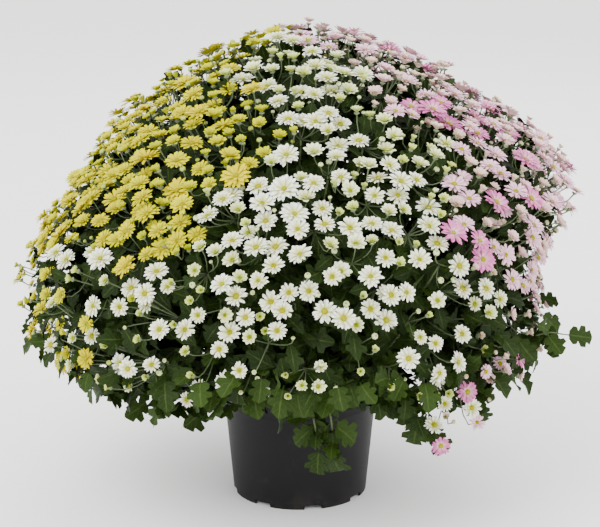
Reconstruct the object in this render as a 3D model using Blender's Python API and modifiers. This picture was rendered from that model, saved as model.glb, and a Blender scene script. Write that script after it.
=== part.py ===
"""Pot chrysanthemum: a yellow, a white and a pink plant grown into one ball of blooms in a nursery pot.

Metres, +Z up. The origin is on the pot's axis, on the surface that the pot stands on.
"""

import math

import bmesh
import bpy
import numpy as np
from mathutils import Vector

# The pot, a plain 5 litre nursery pot
POT_HEIGHT = 0.175
POT_BASE_RADIUS = 0.0975
POT_WALL_SLOPE = math.tan(math.radians(5.4))
POT_WALL = 0.0022
POT_LIP_HEIGHT = 0.014
POT_LIP_WIDTH = 0.0045
POT_FLOOR_HEIGHT = 0.008
POT_FLOOR_THICKNESS = 0.0025
POT_SIDES = 32
FOOT_NOTCHES = 8
FOOT_NOTCH_WIDTH = 0.025
FOOT_NOTCH_HEIGHT = 0.006

# The soil, and the trunks that stand in it
SOIL_HEIGHT = 0.155
TRUNK_RADIUS = 0.008
TRUNK_DEPTH = 0.06
TRUNK_RING = 0.045
TRUNK_TOP = 0.27
GAP = 0.0003

# The dome that the blooms lie on: a turned superellipse, wider and lower than a ball
DOME_HEIGHT = 0.413
DOME_RADIUS = 0.380
DOME_RISE = 0.276
DOME_DROP = 0.280
CROWN_POWER = 1.5
SKIRT_POWER = 3.5

# How the dome leans: wide low at the left and high at the right, taller at the right, lifted at the front
LEAN = 0.028
LEAN_HEIGHT = 0.408
LEAN_BAND = 0.169
CROWN_SLOPE = 0.056
SLOPE_START = 0.133
SLOPE_BAND = 0.30
FRONT_LIFT = 0.085
LIFT_START = 0.30
LIFT_BAND = 0.17
LIFT_INNER = 0.12
LIFT_RING = 0.12

# The three plants: the degrees from +X, anticlockwise, where each one's sector starts and ends, at three heights
BORDER_HEIGHTS = (0.24, 0.42, 0.60)
PLANTS = {
    "yellow": ((97, 97, 97), (224, 243, 262)),
    "white": ((224, 243, 262), (298, 305, 314)),
    "pink": ((298, 305, 314), (457, 457, 457)),
}
PLANTS_MEET = (-0.02, 0.04)

# Blooms and sprays
BLOOMS = 300
SPRAYS = 40
BLOOM_LAST_POLAR = math.radians(120)
FORK_LAST_POLAR = math.radians(118.5)
BLOOM_RADIUS = 0.0190
BLOOM_SPREAD = 0.0012
BLOOM_JITTER = 0.006
BLOOM_SINK = 0.010
BLOOM_LIFT = 0.35
PETALS = 5
NOTCH_SHARE = 0.66
TIP_RISE = 0.0022
NOTCH_DROP = 0.0008
DISC_RISE = 0.0016
NECK_DROP = 0.006
STALK_RADIUS = 0.0012
STALK_ROOT_RADIUS = 0.0010
FORK_DEPTH = 0.075
FORK_HALF_ANGLE = math.radians(11)
FORK_MARGIN = 0.009
KNOB_RADIUS = 0.0072
KNOB_BASE_DROP = 0.0056
KNOB_BASE_RADIUS = 0.0038
PUSHES = 30

# Green parts
VALLEY_DEPTH = 0.100
HILL_DEPTH = 0.057
CORE_DEPTH_BELOW = 0.030
CORE_FLOOR = 0.192
CORE_UNDERSIDE = ((math.radians(138), 12), (math.radians(180), 1))
CORE_SINK = 0.030
ROOT_HEIGHT = 0.012
WEDGE_GAP = 0.001
WEDGE_ROWS = 16
BORDER_MARGIN = 0.014
BRANCH_RADIUS = 0.0042
LEAF_LENGTH = 0.050
LEAF_THICKNESS = 0.0022
LEAF_CLEARANCE = 0.0035
LEAF_SPACING = 0.007
LEAF_STALK = 0.0016
LEAF_SHOOT_STALK = 0.008
BORDER_LEAF_DEPTHS = (0.040, 0.048)
BORDER_LEAF_TILTS = (math.radians(60), math.radians(48), math.radians(35))
SKIRT_ROWS = ((math.radians(123), 26, 0.034), (math.radians(140), 14, 0.020))
SKIRT_STAGGER = math.radians(5)
SKIRT_HANG = math.radians(104)
SEED = 17

# Leafy shoots: the stem's route, then each leaf's place on it, the way it points and its length
SHOOTS = {
    "white": (
        ((0.020, -0.205, 0.300), (0.034, -0.258, 0.240), (0.042, -0.268, 0.195), (0.045, -0.250, 0.150)),
        (
            (1, (-0.80, -0.30, -0.45), 0.036),
            (1, (0.85, -0.25, -0.30), 0.036),
            (2, (-0.75, 0.10, -0.65), 0.038),
            (2, (0.80, 0.10, -0.60), 0.038),
            (3, (0.05, 0.25, -0.97), 0.040),
        ),
    ),
    "pink": (
        ((0.210, -0.101, 0.280), (0.292, -0.126, 0.264), (0.340, -0.132, 0.278), (0.366, -0.132, 0.276)),
        (
            (1, (0.75, -0.55, -0.35), 0.034),
            (1, (0.60, 0.70, -0.20), 0.034),
            (2, (0.55, -0.60, -0.55), 0.030),
            (3, (0.98, 0.05, -0.15), 0.034),
        ),
    ),
}
SHOOT_RADIUS = 0.002

LEAF_COLOUR = (0.075, 0.165, 0.035)
PETAL_COLOURS = {"yellow": (0.90, 0.74, 0.02), "white": (0.88, 0.88, 0.80), "pink": (0.86, 0.58, 0.68)}

GOLDEN_ANGLE = math.pi * (3 - math.sqrt(5))
UP = np.array([0.0, 0.0, 1.0])


def unit(vectors):
    return vectors / np.linalg.norm(vectors, axis=-1, keepdims=True)


def direction(polar, azimuth):
    """The unit vector at a polar angle from straight up and an azimuth from +X."""
    return np.stack(
        [np.sin(polar) * np.cos(azimuth), np.sin(polar) * np.sin(azimuth), np.cos(polar)], axis=-1
    )


def dome_reach(u):
    """Distance from the dome's centre to its surface along u, before it leans: a superellipse."""
    flat = np.hypot(u[..., 0], u[..., 1])
    rise = np.where(u[..., 2] > 0, DOME_RISE, DOME_DROP)
    power = np.where(u[..., 2] > 0, CROWN_POWER, SKIRT_POWER)
    return ((flat / DOME_RADIUS) ** power + (np.abs(u[..., 2]) / rise) ** power) ** (-1 / power)


def dome_normal(u):
    """The way that the surface faces along u: the gradient of the superellipse."""
    flat = np.maximum(np.hypot(u[..., 0], u[..., 1]), 1e-6)
    rise = np.where(u[..., 2] > 0, DOME_RISE, DOME_DROP)
    power = np.where(u[..., 2] > 0, CROWN_POWER, SKIRT_POWER)
    out = flat ** (power - 1) / DOME_RADIUS**power
    up = np.sign(u[..., 2]) * np.abs(u[..., 2]) ** (power - 1) / rise**power
    return unit(np.stack([out * u[..., 0] / flat, out * u[..., 1] / flat, up], axis=-1))


def leaned(points):
    """The points as the plants grew them, leaning right at mid height and lifted over the pot's front."""
    x, y, z = points[..., 0], points[..., 1], points[..., 2]
    swing = np.clip((z - LEAN_HEIGHT) / LEAN_BAND, -1, 1)
    wide = x + LEAN * np.sin(np.pi * swing) * np.abs(x) / DOME_RADIUS
    tall = z + CROWN_SLOPE * x * np.clip((z - SLOPE_START) / SLOPE_BAND, 0, 1)
    flat = np.maximum(np.hypot(x, y), 1e-6)
    front = np.clip(-y / flat, 0, 1) ** 3 * np.clip((flat - LIFT_INNER) / LIFT_RING, 0, 1)
    tall = tall + FRONT_LIFT * front * np.clip((LIFT_START - z) / LIFT_BAND, 0, 1)
    return np.stack([wide, y, tall], axis=-1)


def place(u, depth):
    """The point that lies along u from the dome's centre, at a depth below the blooms."""
    reach = dome_reach(u) - depth
    return leaned(u * reach[..., None] + DOME_HEIGHT * UP)


def spiral(count, last_polar):
    """Directions spread evenly over the dome's area, each a golden angle round from the one before."""
    polar = np.linspace(1e-3, last_polar, 600)
    reach = dome_reach(direction(polar, 0 * polar))
    radius, height = reach * np.sin(polar), reach * np.cos(polar)
    strip = np.hypot(np.diff(radius), np.diff(height)) * (radius[1:] + radius[:-1]) * math.pi
    area = np.concatenate([[0.0], np.cumsum(strip)])
    share = (np.arange(count) + 0.5) / count
    return direction(np.interp(share * area[-1], area, polar), GOLDEN_ANGLE * np.arange(count))


def sector(plant, height):
    """Where the plant's sector starts and ends at a height: its borders turn as they rise."""
    return [math.radians(np.interp(height, BORDER_HEIGHTS, turns)) for turns in PLANTS[plant]]


def plant_of(points):
    """The plant in whose sector each point lies."""
    names = []
    for x, y, z in points:
        azimuth = math.atan2(y - PLANTS_MEET[1], x - PLANTS_MEET[0])
        for name in PLANTS:
            start, end = sector(name, z)
            if (azimuth - start) % (2 * math.pi) < end - start:
                names.append(name)
    return names


def pushed_apart(points, least):
    """The points after a few passes that move each too close pair apart along the line between them."""
    points = points.copy()
    for _ in range(PUSHES):
        apart = points[:, None] - points[None]
        distance = np.linalg.norm(apart, axis=-1) + np.eye(len(points))
        short = np.clip(least - distance, 0, None) * (1 - np.eye(len(points)))
        points += (apart / distance[..., None] * short[..., None] * 0.5).sum(axis=1)
    return points


class Layout:
    """Where every fork, bloom and leaf stands."""

    def __init__(self):
        random = np.random.default_rng(SEED)
        self.fork_way = spiral(SPRAYS, FORK_LAST_POLAR)
        tops = place(self.fork_way, 0.0)
        self.plants = plant_of(tops)
        deep = zip(place(self.fork_way, FORK_DEPTH), self.plants)
        self.forks = np.array([inside_sector(point, plant, FORK_MARGIN) for point, plant in deep])
        self.fork_axis = unit(tops - self.forks)
        way = spiral(BLOOMS, BLOOM_LAST_POLAR)
        self.radius = BLOOM_RADIUS + BLOOM_SPREAD * random.uniform(-1, 1, BLOOMS)
        sunk = BLOOM_SINK * random.uniform(0, 1, BLOOMS)
        spread = random.uniform(-1, 1, (BLOOMS, 3)) * BLOOM_JITTER
        self.blooms = pushed_apart(place(way, sunk) + spread, 2 * (BLOOM_RADIUS + BLOOM_SPREAD) + 0.002)
        self.faces = unit(dome_normal(way) + BLOOM_LIFT * UP + random.normal(0, 0.10, (BLOOMS, 3)))
        self.turn = random.uniform(0, 2 * math.pi, BLOOMS)
        gap = np.linalg.norm(self.blooms[:, None] - tops[None], axis=-1)
        self.fork_of = gap.argmin(axis=1)
        self.leaves = []
        self.taken = []
        self.add_shoot_leaves()
        self.add_skirt_leaves()
        self.add_border_leaves()

    def core_depth(self, u):
        """How deep the core's surface lies along u: deepest under a fork, least midway between forks."""
        from_fork = np.arccos(np.clip((self.fork_way @ u).max(), -1, 1))
        between = min(from_fork / FORK_HALF_ANGLE, 1.0)
        above = VALLEY_DEPTH + (HILL_DEPTH - VALLEY_DEPTH) * between
        return np.array(above + (CORE_DEPTH_BELOW - HILL_DEPTH) * max(-u[2], 0.0))

    def core_root(self, u):
        """A point well inside the core along u, for a root to start from."""
        root = place(u, self.core_depth(u) + CORE_SINK)
        root[2] = max(root[2], CORE_FLOOR + ROOT_HEIGHT)
        return root

    def necks(self):
        """The points where each stalk meets its bloom."""
        return self.blooms - self.faces * NECK_DROP

    def room(self, points):
        """The least distance from the points to any stalk or bloom."""
        start, end = self.forks[self.fork_of], self.necks()
        along = end - start
        offset = points[:, None] - start[None]
        share = np.clip((offset * along).sum(axis=-1) / (along**2).sum(axis=-1), 0, 1)
        to_stalk = np.linalg.norm(offset - share[..., None] * along, axis=-1)
        offset = points[:, None] - self.blooms[None]
        height = (offset * self.faces).sum(axis=-1)
        flat = np.linalg.norm(offset - height[..., None] * self.faces, axis=-1)
        beyond = np.clip(flat - self.radius, 0, None)
        to_bloom = np.hypot(beyond, np.clip(np.abs(height + NECK_DROP / 2) - NECK_DROP / 2, 0, None))
        to_knob = np.linalg.norm(points[:, None] - self.forks[None], axis=-1) - KNOB_RADIUS
        return min(to_stalk.min(), to_bloom.min(), to_knob.min())

    def add_leaf(self, choices):
        """Keeps the first choice that is clear of the sprays and of the leaves before it, if there is one."""
        for leaf in choices:
            points = leaf.outline()
            away = [np.linalg.norm(points[:, None] - other, axis=-1).min() for other in self.taken]
            clear = self.room(np.concatenate([points, leaf.stalk()])) > LEAF_CLEARANCE
            if clear and min(away, default=1.0) > LEAF_SPACING:
                self.taken.append(points)
                self.leaves.append(leaf)
                return

    def add_shoot_leaves(self):
        """Leaves along each leafy shoot, and one at its tip."""
        for plant, (route, leaves) in SHOOTS.items():
            for k, way, size in leaves:
                start, way = np.array(route[k]), unit(np.array(way))
                self.add_leaf([Leaf(start, start + LEAF_SHOOT_STALK * way, way, size, plant)])

    def add_skirt_leaves(self):
        """Leaves that hang out and down all round the bottom edge of the ball."""
        for row, count, depth in SKIRT_ROWS:
            for k in range(count):
                choices = []
                for shift in (0, 2, -2, 4, -4):
                    azimuth = np.array(2 * math.pi * (k + 0.5) / count + math.radians(shift))
                    u = direction(row + SKIRT_STAGGER * (k % 2), azimuth)
                    out = direction(SKIRT_HANG + 2 * SKIRT_STAGGER * (k % 2), azimuth)
                    choices.append(Leaf(self.core_root(u), place(u, depth), out, LEAF_LENGTH))
                self.add_leaf(choices)

    def add_border_leaves(self):
        """Leaves midway between neighbouring forks, at two of every three such spots, along the border there."""
        tops = place(self.fork_way, 0.0)
        for i in range(SPRAYS):
            for j in range(i):
                middle = (tops[i] + tops[j]) / 2
                order = np.linalg.norm(tops - middle, axis=-1).argsort()
                if {i, j} != set(order[:2].tolist()) or (i + j) % 3 == 0:
                    continue
                u = unit(self.fork_way[i] + self.fork_way[j])
                out = unit(place(u, 0.0) - place(u, FORK_DEPTH))
                along = unit(np.cross(out, tops[i] - tops[j]))
                self.add_leaf(
                    Leaf(
                        root=self.core_root(u),
                        base=place(u, depth),
                        way=unit(math.cos(tilt) * out + math.sin(tilt) * side * along),
                        size=LEAF_LENGTH,
                    )
                    for depth in BORDER_LEAF_DEPTHS
                    for tilt in BORDER_LEAF_TILTS
                    for side in ((1, -1) if (i + j) % 2 else (-1, 1))
                )


class Leaf:
    """A lobed leaf on its stalk: root in the core, base of the blade, way the midrib runs, and its length."""

    # One side of the outline from the base to the tip, as shares of the length along and across
    LOBES = ((0.16, 0.31), (0.34, 0.15), (0.54, 0.36), (0.66, 0.15))
    RIDGE = 0.45
    ARCH = 0.22

    def __init__(self, root, base, way, size, plant=None):
        self.plant = plant or plant_of(root[None])[0]
        self.root = root if plant else inside_sector(root, self.plant, BORDER_MARGIN)
        self.base = base if plant else inside_sector(base, self.plant, BORDER_MARGIN)
        self.way, self.size = way, size
        across = np.cross(UP, way)
        if np.linalg.norm(across) < 0.1:
            across = np.cross([1.0, 0.0, 0.0], way)
        self.across = unit(across)
        self.face = np.cross(way, self.across)

    def at(self, along, across, rise=0.0):
        """A point of the blade, which arches down towards its tip and its edges."""
        drop = self.ARCH * (along**2 + across**2)
        return (
            self.base
            + self.size * (along * self.way + across * self.across - drop * self.face)
            + rise * self.face
        )

    def outline(self):
        """The blade's outline from its left base corner round the tip to its right base corner."""
        left = [self.at(along, across) for along, across in self.LOBES]
        right = [self.at(along, -across) for along, across in reversed(self.LOBES)]
        corner = LEAF_STALK / self.size
        return np.array([self.at(0, corner), *left, self.at(1, 0), *right, self.at(0, -corner)])

    def stalk(self):
        """Points along the outer part of the leaf's stalk."""
        share = np.linspace(0.0, 0.8, 7)[:, None]
        return self.base + share * (self.root - self.base)

    def add_to(self, bm):
        """The leaf as one closed skin: a thin blade, thick along its middle, on a three-sided stalk."""
        rim = [bm.verts.new(p) for p in self.outline()]
        top = bm.verts.new(self.at(self.RIDGE, 0, LEAF_THICKNESS / 2))
        under = bm.verts.new(self.at(self.RIDGE, 0, -LEAF_THICKNESS / 2))
        keel = bm.verts.new(self.at(0, 0, -1.6 * LEAF_STALK))
        spread = LEAF_STALK * self.across
        sink = 1.6 * LEAF_STALK * self.face
        foot = [bm.verts.new(self.root + step) for step in (spread, -sink, -spread)]
        for a, b in zip(rim, rim[1:] + rim[:1]):
            bm.faces.new((a, b, top))
        for a, b in zip(rim + [keel], rim[1:] + [keel, rim[0]]):
            bm.faces.new((a, b, under))
        neck = [rim[0], keel, rim[-1]]
        for k in range(3):
            bm.faces.new((foot[k], foot[(k + 1) % 3], neck[(k + 1) % 3]))
            bm.faces.new((foot[k], neck[(k + 1) % 3], neck[k]))
        bm.faces.new(foot)


def frame_across(way, near):
    """Two unit vectors square to way, the first as close as possible to near."""
    first = unit(near - np.dot(near, way) * way)
    return first, np.cross(way, first)


def triangle(centre, way, near, radius):
    """The corners of a triangle round a centre, square to way."""
    first, second = frame_across(way, near)
    turns = (0, 2 * math.pi / 3, 4 * math.pi / 3)
    return [centre + radius * (math.cos(t) * first + math.sin(t) * second) for t in turns]


def add_bloom(bm, layout, k, root, near):
    """A stalk grown from a triangle of the knob, and on it a bloom: five petals that meet in a raised disc."""
    face = layout.faces[k]
    first, second = frame_across(face, near)
    way = unit(layout.necks()[k] - layout.forks[layout.fork_of[k]])
    neck = [bm.verts.new(p) for p in triangle(layout.necks()[k], unit(way + face), near, STALK_RADIUS)]
    rim, nearest = [], []
    for i in range(2 * PETALS):
        angle = layout.turn[k] + math.pi * i / PETALS
        reach = layout.radius[k] * (NOTCH_SHARE if i % 2 else 1.0)
        height = -NOTCH_DROP if i % 2 else TIP_RISE
        side = math.cos(angle) * first + math.sin(angle) * second
        rim.append(bm.verts.new(layout.blooms[k] + reach * side + height * face))
        nearest.append(round(angle / (2 * math.pi / 3)) % 3)
    disc = bm.verts.new(layout.blooms[k] + DISC_RISE * face)
    for i in range(2 * PETALS):
        j = (i + 1) % (2 * PETALS)
        bm.faces.new((disc, rim[i], rim[j]))
        bm.faces.new((rim[j], rim[i], neck[nearest[i]]))
        if nearest[i] != nearest[j]:
            bm.faces.new((rim[j], neck[nearest[i]], neck[nearest[j]]))
    for i in range(3):
        j = (i + 1) % 3
        bm.faces.new((root[i], root[j], neck[j]))
        bm.faces.new((root[i], neck[j], neck[i]))


def spray_mesh(layout, index):
    """A spray as one closed skin: the knob is a hull, and each stalk grows out of one of its faces."""
    fork, axis = layout.forks[index], layout.fork_axis[index]
    own = np.flatnonzero(layout.fork_of == index)
    near = frame_across(axis, UP if abs(axis[2]) < 0.9 else np.array([1.0, 0.0, 0.0]))[0]
    bm = bmesh.new()
    roots = []
    for k in own:
        way = unit(layout.necks()[k] - fork)
        corners = triangle(fork + KNOB_RADIUS * way, way, near, STALK_ROOT_RADIUS)
        roots.append([bm.verts.new(fork + KNOB_RADIUS * unit(p - fork)) for p in corners])
    for corner in triangle(fork - KNOB_BASE_DROP * axis, axis, near, KNOB_BASE_RADIUS):
        bm.verts.new(corner)
    bmesh.ops.convex_hull(bm, input=bm.verts)
    for k, root in zip(own, roots):
        face = bm.faces.get(root)
        if face is None:
            raise ValueError(f"spray {index}: stalk {k} has no face of the knob to itself")
        bm.faces.remove(face)
        add_bloom(bm, layout, k, root, near)
    bmesh.ops.recalc_face_normals(bm, faces=bm.faces)
    return bm


def add_object(name, bm, collection):
    """A new object that holds the bmesh, in the collection."""
    mesh = bpy.data.meshes.new(name)
    bm.to_mesh(mesh)
    bm.free()
    obj = bpy.data.objects.new(name, mesh)
    collection.objects.link(obj)
    return obj


def cone_between(start, end, start_radius, end_radius, sides):
    """A closed tapered stem from start to end, from the cone primitive."""
    way = Vector(end) - Vector(start)
    bm = bmesh.new()
    bmesh.ops.create_cone(
        bm, cap_ends=True, segments=sides, radius1=start_radius, radius2=end_radius, depth=way.length
    )
    turn = way.to_track_quat("Z", "Y").to_matrix()
    for v in bm.verts:
        v.co = turn @ v.co + (Vector(start) + Vector(end)) / 2
    return bm


def boolean(obj, operation, operand, solver="EXACT"):
    """Cuts or joins the object by another object or by a whole collection, and applies the result."""
    modifier = obj.modifiers.new("join", "BOOLEAN")
    modifier.operation = operation
    modifier.solver = solver
    if isinstance(operand, bpy.types.Collection):
        modifier.operand_type = "COLLECTION"
        modifier.collection = operand
    else:
        modifier.object = operand
    bpy.context.view_layer.update()
    graph = bpy.context.evaluated_depsgraph_get()
    mesh = bpy.data.meshes.new_from_object(obj.evaluated_get(graph))
    obj.modifiers.remove(modifier)
    old, obj.data = obj.data, mesh
    bpy.data.meshes.remove(old)


def turned(name, profile, steps, collection):
    """A profile turned once round Z by a Screw modifier that stays on the object."""
    bm = bmesh.new()
    points = [bm.verts.new((radius, 0.0, height)) for radius, height in profile]
    for a, b in zip(points, points[1:]):
        bm.edges.new((a, b))
    obj = add_object(name, bm, collection)
    screw = obj.modifiers.new("turn", "SCREW")
    screw.steps = screw.render_steps = steps
    screw.use_merge_vertices = True
    screw.merge_threshold = 0.0001
    return obj


def wall_radius(height):
    """The pot's outer radius at a height."""
    return POT_BASE_RADIUS + POT_WALL_SLOPE * height


def pot(parts, cutters):
    """The pot: a turned shell with a lip and a raised floor, its foot ring notched all round."""
    floor_top = POT_FLOOR_HEIGHT + POT_FLOOR_THICKNESS
    lip_bottom = POT_HEIGHT - POT_LIP_HEIGHT
    lip_radius = wall_radius(lip_bottom) + POT_LIP_WIDTH
    mouth = wall_radius(POT_HEIGHT) - POT_WALL
    profile = (
        (0.0, floor_top),
        (wall_radius(floor_top) - POT_WALL, floor_top),
        (mouth, POT_HEIGHT - 0.001),
        (mouth + 0.001, POT_HEIGHT),
        (lip_radius - 0.001, POT_HEIGHT),
        (lip_radius, POT_HEIGHT - 0.0015),
        (lip_radius, lip_bottom),
        (wall_radius(lip_bottom), lip_bottom - 0.0008),
        (wall_radius(0.0), 0.0),
        (wall_radius(0.0) - POT_WALL, 0.0),
        (wall_radius(0.0) - POT_WALL, POT_FLOOR_HEIGHT),
        (0.0, POT_FLOOR_HEIGHT),
    )
    obj = turned("pot", profile, POT_SIDES, parts)
    for k in range(FOOT_NOTCHES):
        bm = bmesh.new()
        bmesh.ops.create_cube(bm, size=1.0)
        bmesh.ops.scale(bm, vec=(0.02, FOOT_NOTCH_WIDTH, 2 * FOOT_NOTCH_HEIGHT), verts=bm.verts)
        cutter = add_object(f"foot_notch_{k}", bm, cutters)
        angle = 2 * math.pi * (k + 0.25) / FOOT_NOTCHES
        cutter.location = (POT_BASE_RADIUS * math.cos(angle), POT_BASE_RADIUS * math.sin(angle), 0.0)
        cutter.rotation_euler.z = angle
    notches = obj.modifiers.new("notches", "BOOLEAN")
    notches.operand_type = "COLLECTION"
    notches.collection = cutters
    return obj


def trunk_foot(plant):
    """Where a plant's trunk stands, in the middle of its sector."""
    start, end = sector(plant, BORDER_HEIGHTS[1])
    angle = (start + end) / 2
    return (
        PLANTS_MEET[0] + TRUNK_RING * math.cos(angle),
        PLANTS_MEET[1] + TRUNK_RING * math.sin(angle),
    )


def soil(parts, cutters):
    """The soil: it fills the pot up to its height, with a plain hole for each trunk."""
    bottom = POT_FLOOR_HEIGHT + POT_FLOOR_THICKNESS + GAP
    inner = -POT_WALL - GAP
    profile = (
        (0.0, SOIL_HEIGHT),
        (wall_radius(SOIL_HEIGHT) + inner - 0.004, SOIL_HEIGHT),
        (wall_radius(SOIL_HEIGHT - 0.002) + inner, SOIL_HEIGHT - 0.002),
        (wall_radius(bottom) + inner, bottom),
        (0.0, bottom),
    )
    obj = turned("soil", profile, POT_SIDES, parts)
    for plant in PLANTS:
        x, y = trunk_foot(plant)
        bottom_of_hole = SOIL_HEIGHT - TRUNK_DEPTH - GAP
        bm = cone_between(
            (x, y, bottom_of_hole), (x, y, SOIL_HEIGHT + 0.01), TRUNK_RADIUS + GAP, TRUNK_RADIUS + GAP, 8
        )
        add_object(f"{plant}_trunk_hole", bm, cutters)
    holes = obj.modifiers.new("holes", "BOOLEAN")
    holes.operand_type = "COLLECTION"
    holes.collection = cutters
    return obj


def inside_sector(point, plant, margin):
    """The point, moved level until it is at least margin inside the plant's sector."""
    point = np.array(point)
    start, end = sector(plant, point[2])
    normals = np.array([[-math.sin(start), math.cos(start)], [math.sin(end), -math.cos(end)]])
    for _ in range(3):
        depths = normals @ (point[:2] - PLANTS_MEET)
        point[:2] += np.maximum(margin - depths, 0.0) @ normals
    return point


def wedge(plant, work):
    """The plant's sector as a tall solid, in rows up its height, each side cut along the same diagonals."""
    bm = bmesh.new()
    rows = []
    for height in np.linspace(0.0, 1.0, WEDGE_ROWS + 1):
        start, end = sector(plant, height)
        middle = (start + end) / 2
        inset = WEDGE_GAP / 2 / math.sin((end - start) / 2)
        corner = Vector((*PLANTS_MEET, height)) + inset * Vector((math.cos(middle), math.sin(middle), 0.0))
        rim = [corner + Vector((math.cos(angle), math.sin(angle), 0.0)) for angle in (start, middle, end)]
        rows.append([bm.verts.new(point) for point in (corner, *rim)])
    for low, high in zip(rows, rows[1:]):
        for a, b in ((0, 1), (1, 2), (2, 3), (0, 3)):
            bm.faces.new((low[a], low[b], high[b]))
            bm.faces.new((low[a], high[b], high[a]))
    bm.faces.new(rows[0])
    bm.faces.new(rows[-1])
    bmesh.ops.recalc_face_normals(bm, faces=bm.faces)
    return add_object("wedge", bm, work)


def core(name, layout, plant, parts, work):
    """One plant's share of the dense inside of the ball, cut along its sector's borders.

    It is the hull of the forks' directions with each edge split once. It lies deep under each fork and
    rises between the forks, so its mounds fill the room between the sprays.
    """
    bm = bmesh.new()
    for u in layout.fork_way:
        bm.verts.new(u)
    for polar, count in CORE_UNDERSIDE:
        for k in range(count):
            bm.verts.new(direction(np.array(polar), np.array(2 * math.pi * k / count)))
    bmesh.ops.convex_hull(bm, input=bm.verts)
    bmesh.ops.subdivide_edges(bm, edges=bm.edges, cuts=1)
    bmesh.ops.triangulate(bm, faces=bm.faces)
    for v in bm.verts:
        u = np.array(v.co.normalized())
        point = place(u, layout.core_depth(u))
        point[2] = max(point[2], CORE_FLOOR)
        v.co = point
    bmesh.ops.recalc_face_normals(bm, faces=bm.faces)
    obj = add_object(name, bm, parts)
    share = wedge(plant, work)
    boolean(obj, "INTERSECT", share)
    bpy.data.objects.remove(share)
    return obj


def shoot_stem(plant, work):
    """The stem of a leafy shoot: a curve with a round section, made a closed mesh."""
    route = SHOOTS[plant][0]
    curve = bpy.data.curves.new("shoot", "CURVE")
    curve.dimensions = "3D"
    curve.bevel_depth = SHOOT_RADIUS
    curve.bevel_resolution = 0
    curve.use_fill_caps = True
    spline = curve.splines.new("POLY")
    spline.points.add(len(route) - 1)
    for point, place_on_route in zip(spline.points, route):
        point.co = (*place_on_route, 1.0)
    guide = bpy.data.objects.new("shoot", curve)
    work.objects.link(guide)
    bpy.context.view_layer.update()
    mesh = bpy.data.meshes.new_from_object(guide.evaluated_get(bpy.context.evaluated_depsgraph_get()))
    bpy.data.objects.remove(guide)
    bm = bmesh.new()
    bm.from_mesh(mesh)
    bpy.data.meshes.remove(mesh)
    bmesh.ops.remove_doubles(bm, verts=bm.verts, dist=1e-6)
    bmesh.ops.recalc_face_normals(bm, faces=bm.faces)
    return add_object("shoot_stem", bm, work)


def branch(layout, index):
    """A branch from the core to just under the knob of a spray."""
    u, axis = layout.fork_way[index], layout.fork_axis[index]
    plant = layout.plants[index]
    root = inside_sector(layout.core_root(u), plant, BORDER_MARGIN)
    under = layout.forks[index] - KNOB_BASE_DROP * axis
    way = unit(under - root)
    tip_radius = 0.7 * BRANCH_RADIUS
    room = GAP + tip_radius * np.linalg.norm(np.cross(way, axis))
    return cone_between(root, under - room * axis, BRANCH_RADIUS, tip_radius, 4)


def foliage(layout, plant, parts):
    """One plant's green body: its trunk, core, branches, leaves and leafy shoot, joined as one."""
    work = bpy.data.collections.new("work")
    bpy.context.scene.collection.children.link(work)
    obj = core(f"{plant}_foliage", layout, plant, parts, work)
    x, y = trunk_foot(plant)
    foot, top = (x, y, SOIL_HEIGHT - TRUNK_DEPTH), (x, y, TRUNK_TOP)
    add_object("trunk", cone_between(foot, top, TRUNK_RADIUS, TRUNK_RADIUS, 8), work)
    for index in range(SPRAYS):
        if layout.plants[index] == plant:
            add_object("branch", branch(layout, index), work)
    for leaf in layout.leaves:
        if leaf.plant != plant:
            continue
        bm = bmesh.new()
        leaf.add_to(bm)
        bmesh.ops.recalc_face_normals(bm, faces=bm.faces)
        add_object("leaf", bm, work)
    if plant in SHOOTS:
        shoot_stem(plant, work)
    boolean(obj, "UNION", work, solver="MANIFOLD")
    for part in list(work.objects):
        bpy.data.objects.remove(part)
    bpy.data.collections.remove(work)
    return obj


def material(name, colour, roughness):
    """A plain Principled material."""
    made = bpy.data.materials.new(name)
    made.use_nodes = True
    shader = made.node_tree.nodes["Principled BSDF"]
    shader.inputs["Base Color"].default_value = (*colour, 1.0)
    shader.inputs["Roughness"].default_value = roughness
    shader.inputs["Metallic"].default_value = 0.0
    made.diffuse_color = (*colour, 1.0)
    return made


def new_collection(name, parent):
    collection = bpy.data.collections.new(name)
    parent.children.link(collection)
    return collection


def clear_scene():
    for obj in list(bpy.data.objects):
        bpy.data.objects.remove(obj, do_unlink=True)


def main():
    clear_scene()
    scene = bpy.context.scene.collection
    parts = new_collection("pot_chrysanthemum", scene)
    cutters = new_collection("cutters", scene)
    notch_cutters = new_collection("foot_notches", cutters)
    hole_cutters = new_collection("trunk_holes", cutters)

    pot(parts, notch_cutters).data.materials.append(material("pot_plastic", (0.012, 0.012, 0.014), 0.45))
    soil(parts, hole_cutters).data.materials.append(material("potting_soil", (0.045, 0.028, 0.018), 0.95))
    for cutter in cutters.all_objects:
        cutter.hide_render = True
        cutter.display_type = "WIRE"
    cutters.hide_render = True

    layout = Layout()
    for plant in PLANTS:
        obj = foliage(layout, plant, parts)
        obj.data.materials.clear()
        obj.data.materials.append(material(f"{plant}_leaves", LEAF_COLOUR, 0.6))
        own = [index for index in range(SPRAYS) if layout.plants[index] == plant]
        petals = material(f"{plant}_petals", PETAL_COLOURS[plant], 0.6)
        for number, index in enumerate(own, start=1):
            spray = add_object(f"{plant}_spray_{number:02d}", spray_mesh(layout, index), parts)
            spray.data.materials.append(petals)


if __name__ == "__main__":
    main()
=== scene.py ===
"""Pot chrysanthemum: the blooms, buds, leaves, stems, soil and pot, grown round the solid model.

Metres, +Z up, in the frame of the solid model. Run as a script it makes the whole plant; its panel in the
3D view's sidebar lists the same steps one by one.
"""

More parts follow.
